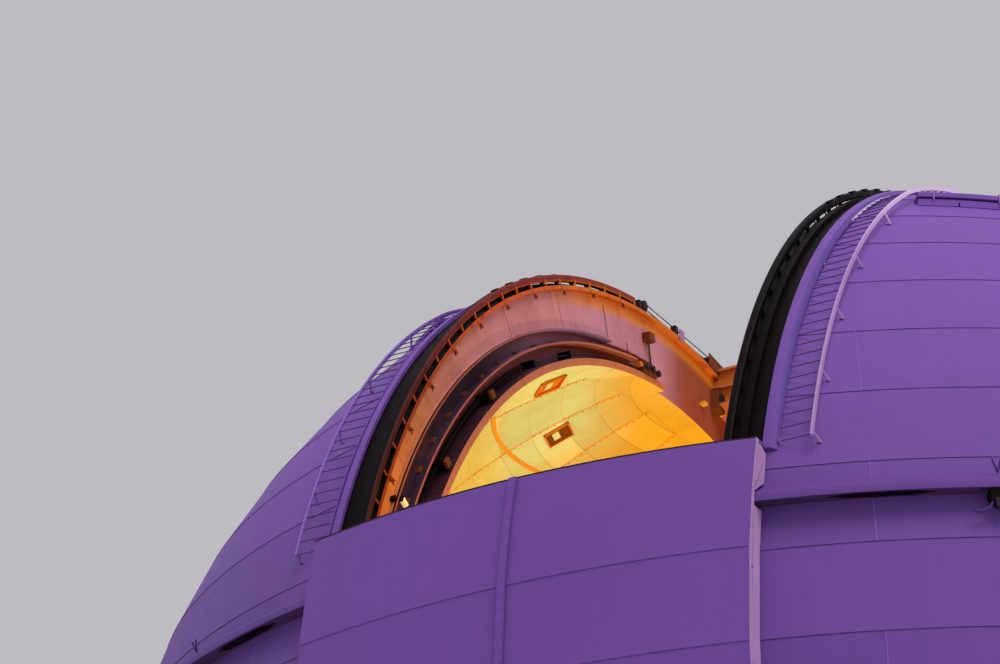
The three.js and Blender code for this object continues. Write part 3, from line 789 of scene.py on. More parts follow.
def build_skin():
    edges = (SECTOR[0], *SECTOR_JOINTS, SECTOR[1])
    sectors = [(name, 0, LOWER_RINGS, start, end)
               for name, start, end in zip(("front", "side", "rear"), edges, edges[1:])]
    for name, *span in sectors + [("upper", LOWER_RINGS, SIDE_RINGS, *SECTOR)]:
        shape = skin_shape(*span).cut((SLIT_EDGE, 0, 0), LEFTWARD)
        pair(shape, f"plates_{name}", "white_paint", [skin_paint], f"skin_{name}")
    back = skin_shape(0, ALL_RINGS, *BACK_SECTOR)
    back.cut((BACK_HALF, 0, 0), RIGHTWARD).cut((-BACK_HALF, 0, 0), LEFTWARD)
    back.cut((0, 0, DOME_Z), -direction(0, SLIT_END + 90))
    back.piece("plates_back", "white_paint", [skin_paint], ["skin_back"])


def build_skin_seams():
    """Butt straps over the upright joints, half a plate apart from ring to ring."""
    straps = Shape()
    length = SKIN * math.radians(RING_STEP) * 0.985
    chord = SKIN * math.cos(math.radians(RING_STEP / 2)) - PLATE_LAP
    for k in range(STRAP_RINGS):
        low, high = ring_elevation(k), ring_elevation(k + 1)
        for i in range(7):
            azimuth = SEAM_AZIMUTH + SEAM_SPACING * (i + k % 2 / 2)
            reach = shell_point(SKIN, high)[0] * math.sin(math.radians(azimuth))
            if azimuth < SECTOR[1] and reach > SLIT_EDGE + 0.5:
                straps.block(STRAP_WIDTH / 2, length / 2,
                             (chord - 0.01, chord + PLATE_LAP), on_shell(azimuth, (low + high) / 2))
    pair(straps, "plate_straps", "white_paint", [strap_paint])


def build_skin_edge():
    """Raised curb along the slit: pale upstand, flat top and a side that slopes down to the skin."""
    edge = Shape()
    inner, bend, outer = SLIT_EDGE, SLIT_EDGE + 0.15, SLIT_EDGE + 0.225
    corners = ((inner, -0.01, -0.16), (inner, -0.01, 0.045), (inner, 0.015, 0.05), (bend, 0, 0.06),
               (outer, 0, 0.004), (outer, 0, -0.1))
    curb = [(x + aside, level(SKIN, x) + rise) for x, aside, rise in corners]
    # The curb's sloping side takes the bluish painted shade
    edge.arch(curb, *SLIT_CURB, finish=[0, 0, 1, 2, 2, 1])
    pair(edge, "slit_edge", "white_paint", [skin_paint, skin_paint, curb_paint])


def build_top_rail():
    """Low curb round the top of the dome: a wall, a dark joint, a cap over it and short posts."""
    rail = Shape()
    start = math.degrees(math.asin(TOP_RAIL_START / TOP_RAIL))
    foot, joint, cap, top = TOP_RAIL_HEIGHTS
    face = TOP_RAIL + 0.03
    wall = [(TOP_RAIL - 0.3, foot), (TOP_RAIL, foot), (TOP_RAIL, joint), (TOP_RAIL - 0.6, joint)]
    core = oblong(TOP_RAIL - 0.5, TOP_RAIL - 0.03, joint - 0.01, cap + 0.01)
    lid = [(TOP_RAIL - 0.7, cap), (face, cap), (face, top), (TOP_RAIL - 0.55, top)]
    for profile, finish in ((wall, 0), (core, 2), (lid, 0)):
        rail.ring(profile, start, 180 - start, finish=finish)
    for azimuth in spread(start + 1.8, 178 - start, 8.0):
        rail.block(0.014, (TOP_RAIL - 0.02, face + 0.02), (foot + 0.12, top + 0.03), on_ring(azimuth), 1)
        rail.block(0.012, (TOP_RAIL - 0.02, TOP_RAIL + 0.008), (foot, foot + 0.08), on_ring(azimuth + 3), 2)
    pair(rail, "top_rail", "white_paint", [skin_paint, edge_paint, black_steel])


def build_lining():
    """Rows of boards whose upper edges lie a little further in."""
    rows = [RING_FROM] + spread(BOARD_FROM, BOARD_FROM + BOARD_ROW * BOARD_ROWS, BOARD_ROW)
    outer_face = [foot_point(LINING_OUT)] + [shell_point(LINING_OUT, e) for e in rows[1:]]
    inner_face = []
    for below, above in zip(rows, rows[1:]):
        inner_face += [shell_point(LINING, below), shell_point(LINING - BOARD_LAP, above)]
    inner_face[0] = foot_point(LINING)
    boards = Shape()
    boards.ring(outer_face + inner_face[::-1], *SECTOR, 2.0)
    boards.cut((SLIT_EDGE, 0, 0), LEFTWARD)
    pair(boards, "lining_boards", "gold_lining", [lining_boards], "lining")


def add_vent(ribs, azimuth, elevation):
    """Square frame, dark inside, with a box in it."""
    place, half = on_shell(azimuth, elevation), VENT_HALF
    for s in (-1, 1):
        edge = sorted((s * half, s * (half - 0.035)))
        ribs.block(edge, half, (LINING - 0.07, LINING), place, 3)
        ribs.block(half, edge, (LINING - 0.07, LINING), place, 3)
    inside = 2 if azimuth > 50 else 3
    ribs.block(half, half, (LINING - 0.022, LINING - 0.012), place, inside)
    ribs.block((-0.2, 0.12), (-0.14, 0.02), (LINING - 0.06, LINING - 0.02), place, 1)


def build_lining_ribs():
    """Ribs round the lining, battens over its upright joints with their nails, and the square vents."""
    ribs = Shape()
    lean = lambda azimuth: 2.0 - abs(azimuth - 90) * 0.1
    along = lambda radius, elevation, azimuth: on_shell(azimuth, elevation + lean(azimuth))(0, 0, radius)
    for elevation in RIB_ELEVATIONS:
        profile = oblong(LINING - 0.04, LINING + 0.01, *about(elevation, 0.2))
        ribs.sweep(profile, along, spread(*RIB_SECTOR, 3))
    for azimuth in [BOARD_SPAN * k for k in range(2, 10)]:
        reach = LINING * math.sin(math.radians(azimuth))
        top = min(math.degrees(math.acos((SLIT_EDGE + 0.03) / reach)), BATTEN_TOP)
        place = lambda s, radius, e, at=azimuth: on_shell(at, e)(s, 0, radius)
        ribs.sweep(oblong(-0.022, 0.022, LINING - 0.016, LINING), place, spread(0.5, top, 2.0))
        for elevation in spread(1.0, top - 0.5, NAIL_PITCH):
            ribs.block((0.035, 0.05), 0.008, (LINING - 0.026, LINING - 0.005),
                       on_shell(azimuth, elevation), 2)
    for vent in VENTS:
        add_vent(ribs, *vent)
    pair(ribs, "lining_ribs", "gold_lining", [lining_rib, lining_boards, vent_dark, vent_paint])


def build_back_lining():
    """Boards behind the slit, on the inner flanges of both arches."""
    half, lip, foot = 3.79, INNER_LIP, INNER[1] + FIT
    crown = [(x, foot + 0.25 * (1 - (x / lip) ** 2)) for x in spread(-lip, lip, lip / 6)]
    under = [(-half, foot)] + crown + [(half, foot)]
    over = [(x, radius + 0.06) for x, radius in reversed(under)]
    start = at_step(BACK_LEDGE_FROM)
    boards = Shape()
    boards.arch(under + over, start, ARCH_TO)
    for at in spread(start + 2, ARCH_TO - 2, 4.8):
        ends = [around_x(x, radius - 0.01, at) for x, radius in crown]
        for end, next_end in zip(ends, ends[1:]):
            boards.tube([end, next_end], 0.03, 6, 1)
    boards.piece("back_lining_boards", "gold_lining", [lining_boards, lining_rib], ["lining_back"])


def arch_profile(mid, second, inner, plain):
    """Outline of the arch, with each of its lower flanges or without; plain closes the recesses.

    Each point has x, radius, how far the flanges' rise moves it and the finish of the edge after it.
    """
    back = SLIT_EDGE - FIT
    points = [(back, OUTER_TOP, 0, 1), (TRACK[1], OUTER_TOP, 0, 1), (TRACK[1], TRACK[2], 0, 4),
              (TRACK[0], TRACK[2], 0, 1), (TRACK[0], OUTER_TOP, 0, 1), (OUTER_LIP, OUTER_TOP, 0, 2),
              (OUTER_LIP, OUTER_UNDER, 0, 2), (WEB, OUTER_UNDER, 0, 0)]
    if plain:
        points += [(WEB, INNER[1], 0, 0)]
    else:
        low, high, rise = MID
        if mid:
            # The black band on the middle flange's top, by its lip, is a painted shadow line
            points += [(WEB, high, rise, 0), ((WEB + 2 * MID_LIP) / 3, high, rise, 4),
                       (MID_LIP, high, rise, 5), (MID_LIP, low, rise, 5)]
        else:
            points += [(WEB, low, rise, 3)]
        points += [(GROOVE, low, rise, 7)]
        low, high, rise = SECOND
        points += [(GROOVE, high, rise, 7)]
        if second:
            points += [(MID_LIP, high, rise, 3), (MID_LIP, low, rise, 3)]
        else:
            points += [(GROOVE, low, rise, 3)]
        points += [(RECESS, low, rise, 5), (RECESS, INNER[1], 0, 5)]
    lip = [(INNER_LIP, INNER[1], 0, 3), (INNER_LIP, INNER[0], 0, 6)]
    points += lip if inner else [(WEB, INNER[0], 0, 6)]
    points += [(back, INNER[0], 0, 1)]
    return [(x, (radius, rise)) for x, radius, rise, _ in points], [finish for *_, finish in points]


def build_arches():
    """The arch in spans, which differ in the flanges that they still have."""
    arch = Shape()
    spans = ((0, MID_END, (True, True, True, False)), (MID_END, SECOND_END, (False, True, True, False)),
             (SECOND_END, INNER_END, (False, False, True, False)),
             (INNER_END, BACK_LEDGE_FROM, (False, False, False, True)),
             (BACK_LEDGE_FROM, ARCH_STEPS, (False, False, True, True)))
    place = lambda x, at, angle: around_x(x, at[0] + outwards(at[1], angle), angle)
    for first, last, flanges in spans:
        profile, finishes = arch_profile(*flanges)
        arch.sweep(profile, place, spread(at_step(first), at_step(last), ARCH_CAD_STEP / 4), finishes)
    finishes = [web_steel, black_steel, bracket_paint, flange_steel, black_steel, recess_steel,
                lining_boards, groove_steel]
    pair(arch, "arch_plates", "salmon_steel", finishes, "arch_girder")


def build_arch_details():
    """Joints of the web's plates and bolts along the flanges."""
    made = Shape()
    for at in WEB_JOINTS:
        made.block((WEB - 0.004, WEB), 0.008, (MID[1] + outwards(MID[2], at), OUTER_UNDER), on_arch(at))
    for at in spread(1, 179, BOLT_PITCH):
        if at < at_step(INNER_END):
            made.block((INNER_LIP - 0.005, INNER_LIP), 0.01, about(INNER[0] + 0.1, 0.01), on_arch(at))
    for at, low, high in WEB_BARS:
        made.block((WEB - 0.008, WEB), 0.008, (low, high), on_arch(at), 1)
    pair(made, "arch_joints", "salmon_steel", [flange_steel, dark_steel])


def build_guard():
    """Round-edged bar with clamps over it, its posts and the hooked brackets over the flange."""
    guard = Shape()
    inner, outer, under, top = GUARD
    start, end = GUARD_ANGLES
    edge = 0.03
    bar = [(inner + edge, under), (outer - edge, under), (outer, under + edge), (outer, top - edge),
           (outer - edge, top), (inner + edge, top), (inner, top - edge), (inner, under + edge)]
    # The bar's top, outer side and underside are black: painted shade
    guard.arch(bar, start, end, 1.25, [2, 2, 2, 2, 2, 0, 0, 1])
    for i, at in enumerate(spread(start + 0.3, end - 0.3, POST_PITCH)):
        place = on_arch(at)
        guard.block(about(GUARD_MIDDLE, 0.035), 0.035, (OUTER_TOP + FIT, under + 0.02), place, 2)
        guard.block((inner - 0.012, inner + 0.004), 0.028, (OUTER_UNDER, under + 0.05), place, 1)
        if at > CLAMPS_FROM:
            guard.block((GUARD_MIDDLE, outer + 0.008), 0.11, (top - 0.03, top + 0.018), place, 2)
        if i % 2 == 0:
            low = OUTER_UNDER - 0.06
            guard.block((inner - 0.05, inner - 0.02), 0.05, (low, OUTER_UNDER + 0.02), place, 1)
            guard.block((inner - 0.06, inner - 0.04), 0.03, about(low, 0.03), place, 3)
            for s in about(0, 0.03):
                guard.tube([place(inner - 0.05, s, low), place(inner - 0.05, s * 1.8, low - 0.07)], 0.014,
                           6, 3)
    pair(guard, "guard_bar", "red_paint", [guard_paint, bracket_paint, black_steel, hook_paint],
         "arch_guard")


def ladder_radius(angle):
    """The ladder bends down to the skin at its upper end."""
    return LADDER[2] - 0.012 * max(0.0, angle - LADDER_BENDS_FROM)


def build_ladder():
    """Outer stringer on posts, inner stringer lying on the skin, thin rungs between them."""
    ladder = Shape()
    inner, outer, radius = LADDER
    start, end = LADDER_ANGLES
    follow = lambda x, rise, at: around_x(x, ladder_radius(at) + rise, at)
    ladder.sweep(oblong(*about(outer, 0.02), *about(0, 0.036)), follow, spread(start, end, 0.9))
    rail = oblong(*about(inner, 0.012), *about(0, 0.02))
    # The lower inner stringer takes the curb's bluish painted shade
    for first, last, finish in ((start, LADDER_PALE_FROM, 2), (LADDER_PALE_FROM, end - 1.5, 0)):
        ladder.sweep(rail, follow, spread(first, last, 0.9), finish)
    # Rungs darker than the skin: painted shade
    for at in spread(start + 0.1, end - 1.8, RUNG_PITCH):
        ladder.axle(follow, (inner, outer), 0, at, 0.0105, 6, 1)
    foot = outer + 0.06
    skin = level(SKIN, foot)
    # Each post stands on a dark foot plate: painted shade beside the foot
    for at in LADDER_POSTS:
        place = on_arch(at)
        ladder.tube([place(outer, 0.04, ladder_radius(at)), place(foot, -0.02, skin - 0.01)], 0.022, 6)
        ladder.block((foot - 0.1, foot), (-0.03, -0.015), (skin - 0.03, skin + 0.008), place, 1)
    for at in (LADDER_POSTS[i] for i in (0, 3, 5)):
        ladder.block(about(inner, 0.02), 0.03, (level(SKIN, inner) - 0.05, radius), on_arch(at))
    pair(ladder, "ladder_steel", "white_paint", [ladder_paint, rung_paint, curb_paint], "ladder")


def door_outline(radius, lap=0.0):
    """Bent line of a door, from foot to top; lap sets the lower bends of each row of plates back."""
    points = [shell_point(radius, math.degrees(math.asin(DOOR_BOTTOM / radius)))]
    for elevation in DOOR_KINKS:
        if lap and elevation != DOOR_KINKS[-1]:
            points.append(shell_point(radius - lap, elevation))
        points.append(shell_point(radius, elevation))
    return points + [shell_point(radius, math.degrees(math.asin(DOOR_TOP / radius)))]


def front_door(meeting):
    """One door: plates in three rows, returns at top, foot and side, with a flange along the side."""
    plate = Shape()
    plate.ring(door_outline(DOOR, 0.014) + door_outline(DOOR - DOOR_PLATE)[::-1], *DOOR_AZIMUTHS)
    back = lambda z: (level(DOOR_BACK, z), z)
    face = lambda z: (level(DOOR - DOOR_PLATE / 2, z), z)
    for low, high in ((DOOR_BOTTOM, DOOR_BOTTOM + DOOR_PLATE), (DOOR_TOP - DOOR_PLATE, DOOR_TOP)):
        plate.ring([back(low), face(low), face(high), back(high)], *DOOR_AZIMUTHS)
    edge = level(DOOR, DOOR_TOP)
    plate.ring(oblong(edge - 0.1, edge + 0.01, DOOR_TOP - 0.022, DOOR_TOP + 0.003), *DOOR_AZIMUTHS, 2)
    plate.cut((meeting, 0, 0), LEFTWARD).cut((DOOR_HALF - 0.003, 0, 0), RIGHTWARD)
    add_door_side(plate, back)
    return plate


def add_door_side(plate, back):
    """Side return in paler paint, a painted highlight, with a fine joint behind its front flange; the hood
    passes through its notch.
    """
    across = lambda r, z, x: Vector((x, -level(r, x), DOME_Z + z))
    step = [(r - 0.115, z) for r, z in door_outline(DOOR)]
    plate.sweep(door_outline(DOOR - 0.016) + step[::-1], across, [DOOR_SIDE, DOOR_HALF], 1)
    rest = step + [back(DOOR_TOP - 0.17)] + DOOR_NOTCH + [back(z) for z in (3.0, 1.5, 0.0, DOOR_BOTTOM)]
    plate.sweep(rest, across, [DOOR_SIDE, DOOR_HALF - 0.01], 1)
    hole = across(*door_outline(DOOR - 0.06)[2], DOOR_HALF)
    plate.tube([hole - Vector((0.01, 0, 0.34)), hole + Vector((0.004, 0, -0.34))], 0.02, 8, 2)


def build_doors():
    """Both doors and the cover strip with its two rows of screws."""
    doors = {"right": front_door(STRIP_HALF + DOOR_GAP), "left": front_door(-STRIP_HALF).mirrored()}
    for side, door in doors.items():
        door.piece(f"{side}_door_plates", "white_paint", [door_paint, side_paint, dark_steel],
                   [f"front_door_{side}"], f"{side}_door")
    strip = Shape()
    proud = DOOR + STRIP_PROUD
    start, end = (math.degrees(x / DOOR) for x in (STRIP_LEFT, STRIP_HALF))
    strip.ring(door_outline(proud) + door_outline(DOOR + FIT)[::-1], start, end, (end - start) / 2)
    for elevation in spread(*SCREWS):
        for azimuth in (start * 0.8, end * 0.85):
            strip.block(0.012, 0.012, (proud - 0.014, proud - 0.004), on_shell(azimuth, elevation))
    strip.piece("cover_strip_plate", "white_paint", [door_paint], ["door_cover_strip"], "left_door")


def slot_place(radius, z, azimuth):
    """Place along the hood's slot, which narrows towards both ends."""
    middle = sum(HOOD_SLOT) / 2
    swell = 1.05 - ((azimuth - middle) / (HOOD_SLOT[1] - middle)) ** 4
    return around_z(SLOT_RADIUS + (radius - SLOT_RADIUS) * swell, z, azimuth)


def build_hoods():
    """Bent plate over the door's track, with a closed underside that has a narrow slot; the underside's
    darker colour and the black slot and inside are painted shade.
    """
    hood = Shape()
    start, end = HOOD_ANGLES
    hood.ring(HOOD, start, end, HOOD_STEP)
    under = [(14.95, 3.985), (15.31, 3.955), (15.31, 3.975), (14.95, 4.005)]
    hood.ring(under, start, end, HOOD_STEP, 1)
    slot = [(15.02, 3.976), (15.25, 3.953), (15.25, 3.97), (15.02, 3.99)]
    # The slot is a black bar: painted shade
    hood.sweep(slot, slot_place, spread(*HOOD_SLOT, 0.34), 2)
    inside = [(14.72, 4.33), (15.24, 4.0), (15.24, 3.99), (15.0, 4.02), (14.9, 4.1)]
    # Black inside the hood: painted shade
    hood.ring(inside, start + 0.1, end - 0.1, HOOD_STEP, 2)
    pair(hood, "hood_plates", "white_paint", [hood_paint, hood_under, black_steel], "door_hood")


def build_drives():
    """Drive at the end of each hood: cover, gear, bent pipes and a conduit down the skin."""
    drive = Shape()
    outer, low, high = DRIVE
    place = on_ring(DRIVE_AZIMUTH)
    drive.ring(HOOD, HOOD_ANGLES[1] + 0.005, DRIVE_COVER_END, 0.6, 3)
    drive.block((-0.12, 0.2), (outer - 0.36, outer - 0.1), (low + 0.16, low + 0.4), place, 1)
    drive.axle(place, (-0.16, 0.2), outer - 0.2, low + 0.26, 0.07, 12, 1)
    drive.block((-0.05, 0.1), (outer - 0.2, outer - 0.06), (low + 0.04, low + 0.2), place)
    bends = ((-0.08, 0.16), (-0.14, 0.06), (-0.24, 0.0), (-0.34, -0.01), (-0.42, 0.03))
    drive.tube([place(out, outer - 0.15, low + rise) for out, rise in bends], 0.028, 8, 2)
    for lean in (-0.1, 0.05):
        drive.tube([place(0.1, 15.0, high + 0.08), place(0.1 + lean, 15.08, high + 0.3)], 0.018, 8, 2)
    wall = lambda z: level(SKIN, z) + 0.03
    drive.tube([place(0.14, wall(z), z) for z in spread(-0.1, low + 0.2, 0.6)], 0.02, 8, 2)
    for z in spread(0.6, 3.2, 0.85):
        drive.block((0.1, 0.18), about(wall(z), 0.03), about(z, 0.02), place, 1)
    pair(drive, "drive_unit", "dark_steel", [dark_steel, black_steel, joint_paint, hood_paint],
         "door_drive")


def build_header():
    """Beam across the end of the slit, with flanges and stiffeners."""
    header = Shape()
    end = WEB - FIT
    low, high = HEADER_RADII
    foot = [(-end, low), (-end, high), (-BACK_HALF, high)]
    profile = foot + arc(SKIN - 0.15, BACK_HALF) + [(-x, radius) for x, radius in reversed(foot)]
    header.arch(profile, *HEADER)
    for radius in (low, 14.5, 14.95):
        header.block(end, (-0.55, 0.45), (radius, radius + 0.04), on_arch(HEADER_PLATES), 1)
    for x in spread(-3.0, 3.0, 0.75):
        header.block(about(x, 0.012), (-0.3, 0.4), (low + 0.04, 14.95), on_arch(HEADER_PLATES), 1)
    header.piece("header_plates", "salmon_steel", [beam_steel, flange_steel], ["header_beam"])


def build_cable_gear():
    """Sheaves on top of each arch with the cables stretched between them."""
    gear = Shape()
    middle = GUARD_MIDDLE
    first, plate, last = (on_arch(at) for at in SHEAVES)
    gear.block(about(middle, 0.1), (-0.16, 0.18), (OUTER_TOP + 0.001, 15.12), first)
    gear.axle(first, about(middle, 0.13), 0.1, 15.05, 0.11, 14)
    for x, radius in ((middle - 0.06, 15.14), (middle + 0.02, 15.10), (middle + 0.08, 15.0)):
        ends = [around_x(x, radius, CABLES[0]), around_x(x, radius + 0.01, CABLES[1])]
        gear.tube(ends, CABLE_RADIUS, 6)
    gear.block((middle - 0.1, middle + 0.02), (-0.16, -0.02), (OUTER_TOP, 15.12), plate)
    gear.block((OUTER_LIP - 0.04, OUTER_LIP - 0.015), (-0.02, 0.2), (OUTER_UNDER, 15.08), plate, 1)
    gear.block((middle + 0.07, middle + 0.09), (-0.02, 0.2), (OUTER_TOP, 15.12), plate, 1)
    gear.axle(last, about(middle, 0.1), 0, 15.08, 0.13, 14)
    for x in (middle - 0.13, middle + 0.11):
        gear.block((x, x + 0.02), (-0.2, 0.55), (OUTER_TOP, 15.2), last, 2)
    gear.block(about(middle, 0.12), (0.2, 0.6), (14.93, 15.1), last, 2)
    pair(gear, "cable_gear", "dark_steel", [dark_steel, edge_paint, brown_steel])


def build_slit_fittings():
    """Box with its conduit on the web, stops and a winch near the slit's end, rollers on the flange."""
    made = Shape()
    box, winch, roller = on_arch(WEB_BOX), on_arch(WINCH), on_arch(ROLLERS)
    made.block((3.36, WEB), 0.13, about(14.32, 0.1), box, 1)
    made.tube([box(WEB - 0.03, 0.13, radius) for radius in (14.26, 14.0, 13.7, 13.45)], 0.016, 6)
    for at, radius, reach in STOPS:
        made.block((WEB - 0.13, WEB), reach, about(radius, 0.03), on_arch(at), 2)
    made.axle(winch, (WEB - 0.26, WEB), 0, 14.2, 0.13, 14)
    made.block((WEB - 0.2, WEB), (-0.16, 0.2), (13.93, 14.4), winch, 1)
    made.block((3.36, WEB), (-0.5, 0.1), (13.37, 13.47), roller, 1)
    for along in (-0.36, -0.08, 0.2):
        made.axle(roller, (3.32, WEB), along, 13.5, 0.075, 12)
    made.block((3.4, WEB), (-0.62, -0.46), (13.5, 13.6), roller, 3)
    pair(made, "slit_fittings", "dark_steel", [dark_steel, brown_steel, yellow_paint, bracket_paint])


def build_recess_fittings():
    """Pipes, boxes and brackets in the recesses of the arch, and the lamp low on the web."""
    made = Shape()
    for at in spread(*BRACKETS):
        top = SECOND[1] + outwards(SECOND[2], at)
        made.block((GROOVE - 0.1, GROOVE), 0.09, (top + 0.003, top + 0.04), on_arch(at))
    made.tube([around_x(RECESS - 0.12, 13.5, at) for at in spread(*THICK_PIPE)], 0.04, 8, 2)
    made.tube([around_x(RECESS - 0.25, 13.46, at) for at in spread(*THIN_PIPE)], 0.016, 8, 1)
    low, high = INNER[1] + 0.04, SECOND[0] - 0.06
    for at, wide in RECESS_BOXES:
        place = on_arch(at)
        made.block((RECESS - 0.3, RECESS - 0.02), (-wide, wide - 0.06), (low, high), place, 2)
        if at < 50:
            made.block((RECESS - 0.36, RECESS - 0.3), (-wide + 0.02, wide), (low + 0.01, high + 0.02), place)
    lamp = on_arch(LAMP)
    made.block((WEB - 0.1, WEB), (-0.12, -0.02), (14.42, 14.54), lamp, 2)
    made.block((WEB - 0.2, WEB), (-0.08, 0.06), (14.4, 14.43), lamp, 2)
    made.tube([lamp(WEB - 0.16, -0.02, 14.24), lamp(WEB - 0.16, 0.0, 14.4)], 0.055, 12, 4)
    pair(made, "recess_fittings", "dark_steel",
         [brown_steel, dark_steel, black_steel, web_steel, lamp_glass])


def build_shutter():
    """Plates with fine gaps, pale straps over the joints and ribs underneath."""
    inner, outer, half = SHUTTER
    start, end = SHUTTER_ANGLES
    middle = (start + end) / 2
    shell = lambda proud: arc(outer - proud, half) + arc(inner, half)[::-1]
    for name, first, last in (("front", start, middle), ("rear", middle, end)):
        skin = Shape()
        joints = spread(first, last, SHUTTER_PLATE)
        for low, high in zip(joints, joints[1:]):
            skin.arch(shell(0.001), low, high - 0.04, 1.9)
        for at in joints[1:-1]:
            skin.arch(shell(0), at - 0.12, at + 0.06, finish=1)
        for at in joints:
            skin.block(half - 0.2, 0.03, (inner - 0.42, inner - 0.34), on_arch(min(at, 179.6)), 1)
        skin.piece(f"shutter_plates_{name}", "white_paint", [skin_paint, edge_paint],
                   [f"shutter_skin_{name}"], "shutter")


def build_shutter_sides():
    """Side plates with stiffeners, and wheel trucks on the rails."""
    side = Shape()
    inner, _, half = SHUTTER
    x_in, under = SHUTTER_SIDE
    start, end = SHUTTER_ANGLES
    top = lambda x: level(inner, x) - 0.001
    side.arch([(half - 0.05, under), (half, under), (half, top(half)), (half - 0.05, top(half - 0.05))],
              start, end)
    side.arch(oblong(x_in, half, under, under + 0.03), start, end)
    for at in spread(start + 1, end - 1, 3.2):
        side.block((x_in + 0.02, half - 0.05), 0.01, (under + 0.03, top(half)), on_arch(at))
    for at in [at_step(k) for k in range(0, ARCH_STEPS + 1, 3) if start < at_step(k) < end]:
        place = on_arch(at)
        side.block((3.72, 3.915), 0.31, (15.07, 15.115), place, 1)
        for s in about(0, 0.2):
            side.axle(place, (3.715, 3.825), s, 15.075, 0.069, 14, 2)
    pair(side, "shutter_frame", "grey_steel", [grey_steel, yellow_paint, dark_steel], "shutter_side",
         "shutter")


def build_shutter_beam():
    """Box along the shutter's front edge, with darker and lighter flanges."""
    beam = Shape()
    low, half = SHUTTER_BEAM
    start, end = SHUTTER_ANGLES[0] + 0.4, SHUTTER_ANGLES[0] + 2.0
    shell = lambda radius: arc(radius, half) + arc(low, half)[::-1]
    deep, flat = shell(SHUTTER[0] - 0.001), shell(low + 0.02)
    for profile, first, last, finish in ((deep, start, start + 0.25, 0), (deep, end - 0.25, end, 1),
                                         (flat, start + 0.25, end - 0.25, 0)):
        beam.arch(profile, first, last, finish=finish)
    beam.piece("shutter_beam_plates", "salmon_steel", [beam_steel, flange_steel], ["shutter_front_beam"],
               "shutter")


def build_sill():
    """Track that the doors run on, with brackets under it."""
    sill = Shape()
    inner = RING[1] + FIT
    sill.ring([(inner, -0.7), (SILL_OUT, -0.52), (SILL_OUT, -0.318), (inner, -0.318)],
              -SILL_ANGLE, SILL_ANGLE)
    for azimuth in spread(1 - SILL_ANGLE, SILL_ANGLE - 1, 2.9):
        sill.block(0.012, (inner, SILL_OUT - 0.06), (-0.9, -0.55), on_ring(azimuth))
    sill.piece("sill_plates", "white_paint", [skin_paint], ["door_sill_track"])


def build_ring_girder():
    """Box girder under the skin with stiffeners, its skirt in sheets, and driven wheels in forks."""
    ring = Shape()
    inner, outer, bottom, chamfer = RING
    skirt_in, skirt_out, skirt_foot = SKIRT
    top, edge = FOOT - FIT, bottom + chamfer
    ring.ring([(inner, bottom), (outer, edge), (outer, top), (inner, top)], 0, 360)
    ring.ring(oblong(skirt_in, skirt_out, skirt_foot, bottom), 0, 360, finish=1)
    for azimuth in spread(0, 357, 3.0):
        ring.block(0.01, (outer - 0.01, outer + 0.018), (edge + 0.02, top - 0.02), on_ring(azimuth))
        ring.block(0.012, (skirt_out - 0.004, skirt_out + 0.014), (skirt_foot, bottom),
                   on_ring(azimuth + 1.5), 1)
    radius, width, track, count = WHEEL
    axle = RAIL[2] + 0.0005 - DOME_Z + radius
    for i in range(count):
        place = on_ring(360 * (i + 0.5) / count)
        for reach, thick, sides, finish in ((width / 2, radius, 24, 2), (0.14, 0.06, 12, 3)):
            ring.tube([place(0, r, axle) for r in about(track, reach)], thick, sides, finish)
        for r in (track - 0.13, track + 0.10):
            ring.block(0.14, (r, r + 0.03), (axle - 0.1, bottom + 0.02), place, 3)
    ring.piece("ring_girder_plates", "grey_steel", [grey_steel, wall_cladding, dark_steel, yellow_paint],
               ["dome_ring_girder"])


def ribbed_wall(start, end, low=0.0, plinth_from=None):
    """Sheets on the round wall, with flashings and a plinth; a rib is a flat crest with sloping sides."""
    inner, outer, top = WALL
    count = round((end - start) / math.degrees(CLADDING_PITCH / outer))
    step = (end - start) / count
    rib = ((0.0, CLADDING_DEPTH), (0.45, CLADDING_DEPTH), (0.58, 0.0), (0.87, 0.0))
    outline = [(start + step * i + step * share, outer - depth) for i in range(count)
               for share, depth in rib]
    outline.append((end, outer - CLADDING_DEPTH))
    inside = [(azimuth, inner) for azimuth in spread(end, start, -3.0)]
    place = lambda azimuth, radius, z: around_z(radius, z - DOME_Z, azimuth)
    strip = lambda z, height, proud: oblong(outer - 0.02, outer + proud, z - DOME_Z, z + height - DOME_Z)
    wall = Shape()
    wall.sweep(outline + inside, place, [low, top])
    for z in FLASHINGS:
        wall.ring(strip(z, 0.12, 0.012), start, end, finish=1)
    if plinth_from is not None:
        wall.ring(strip(0.0, 0.35, 0.02), plinth_from, end, finish=2)
    return wall


def build_walls():
    """Sheets of the wall's sectors, with the doorway left open at the front."""
    finishes = [wall_cladding, edge_paint, concrete]
    for name, start, end in (("wall_right", 30, 150), ("wall_rear", 150, 210), ("wall_left", 210, 330)):
        wall = ribbed_wall(start, end, plinth_from=start)
        wall.piece(f"{name}_sheets", "wall_paint", finishes, [name], "building")
    half, head = DOORWAY
    side = math.degrees(math.asin(half / WALL[1]))
    front = ribbed_wall(side, 30, plinth_from=side + 0.5)
    pair(front, "wall_front_sheets", "wall_paint", finishes, "wall_front", "building")
    over = ribbed_wall(-side, side, head)
    over.piece("wall_over_door_sheets", "wall_paint", finishes[:2], ["wall_over_door"], "building")


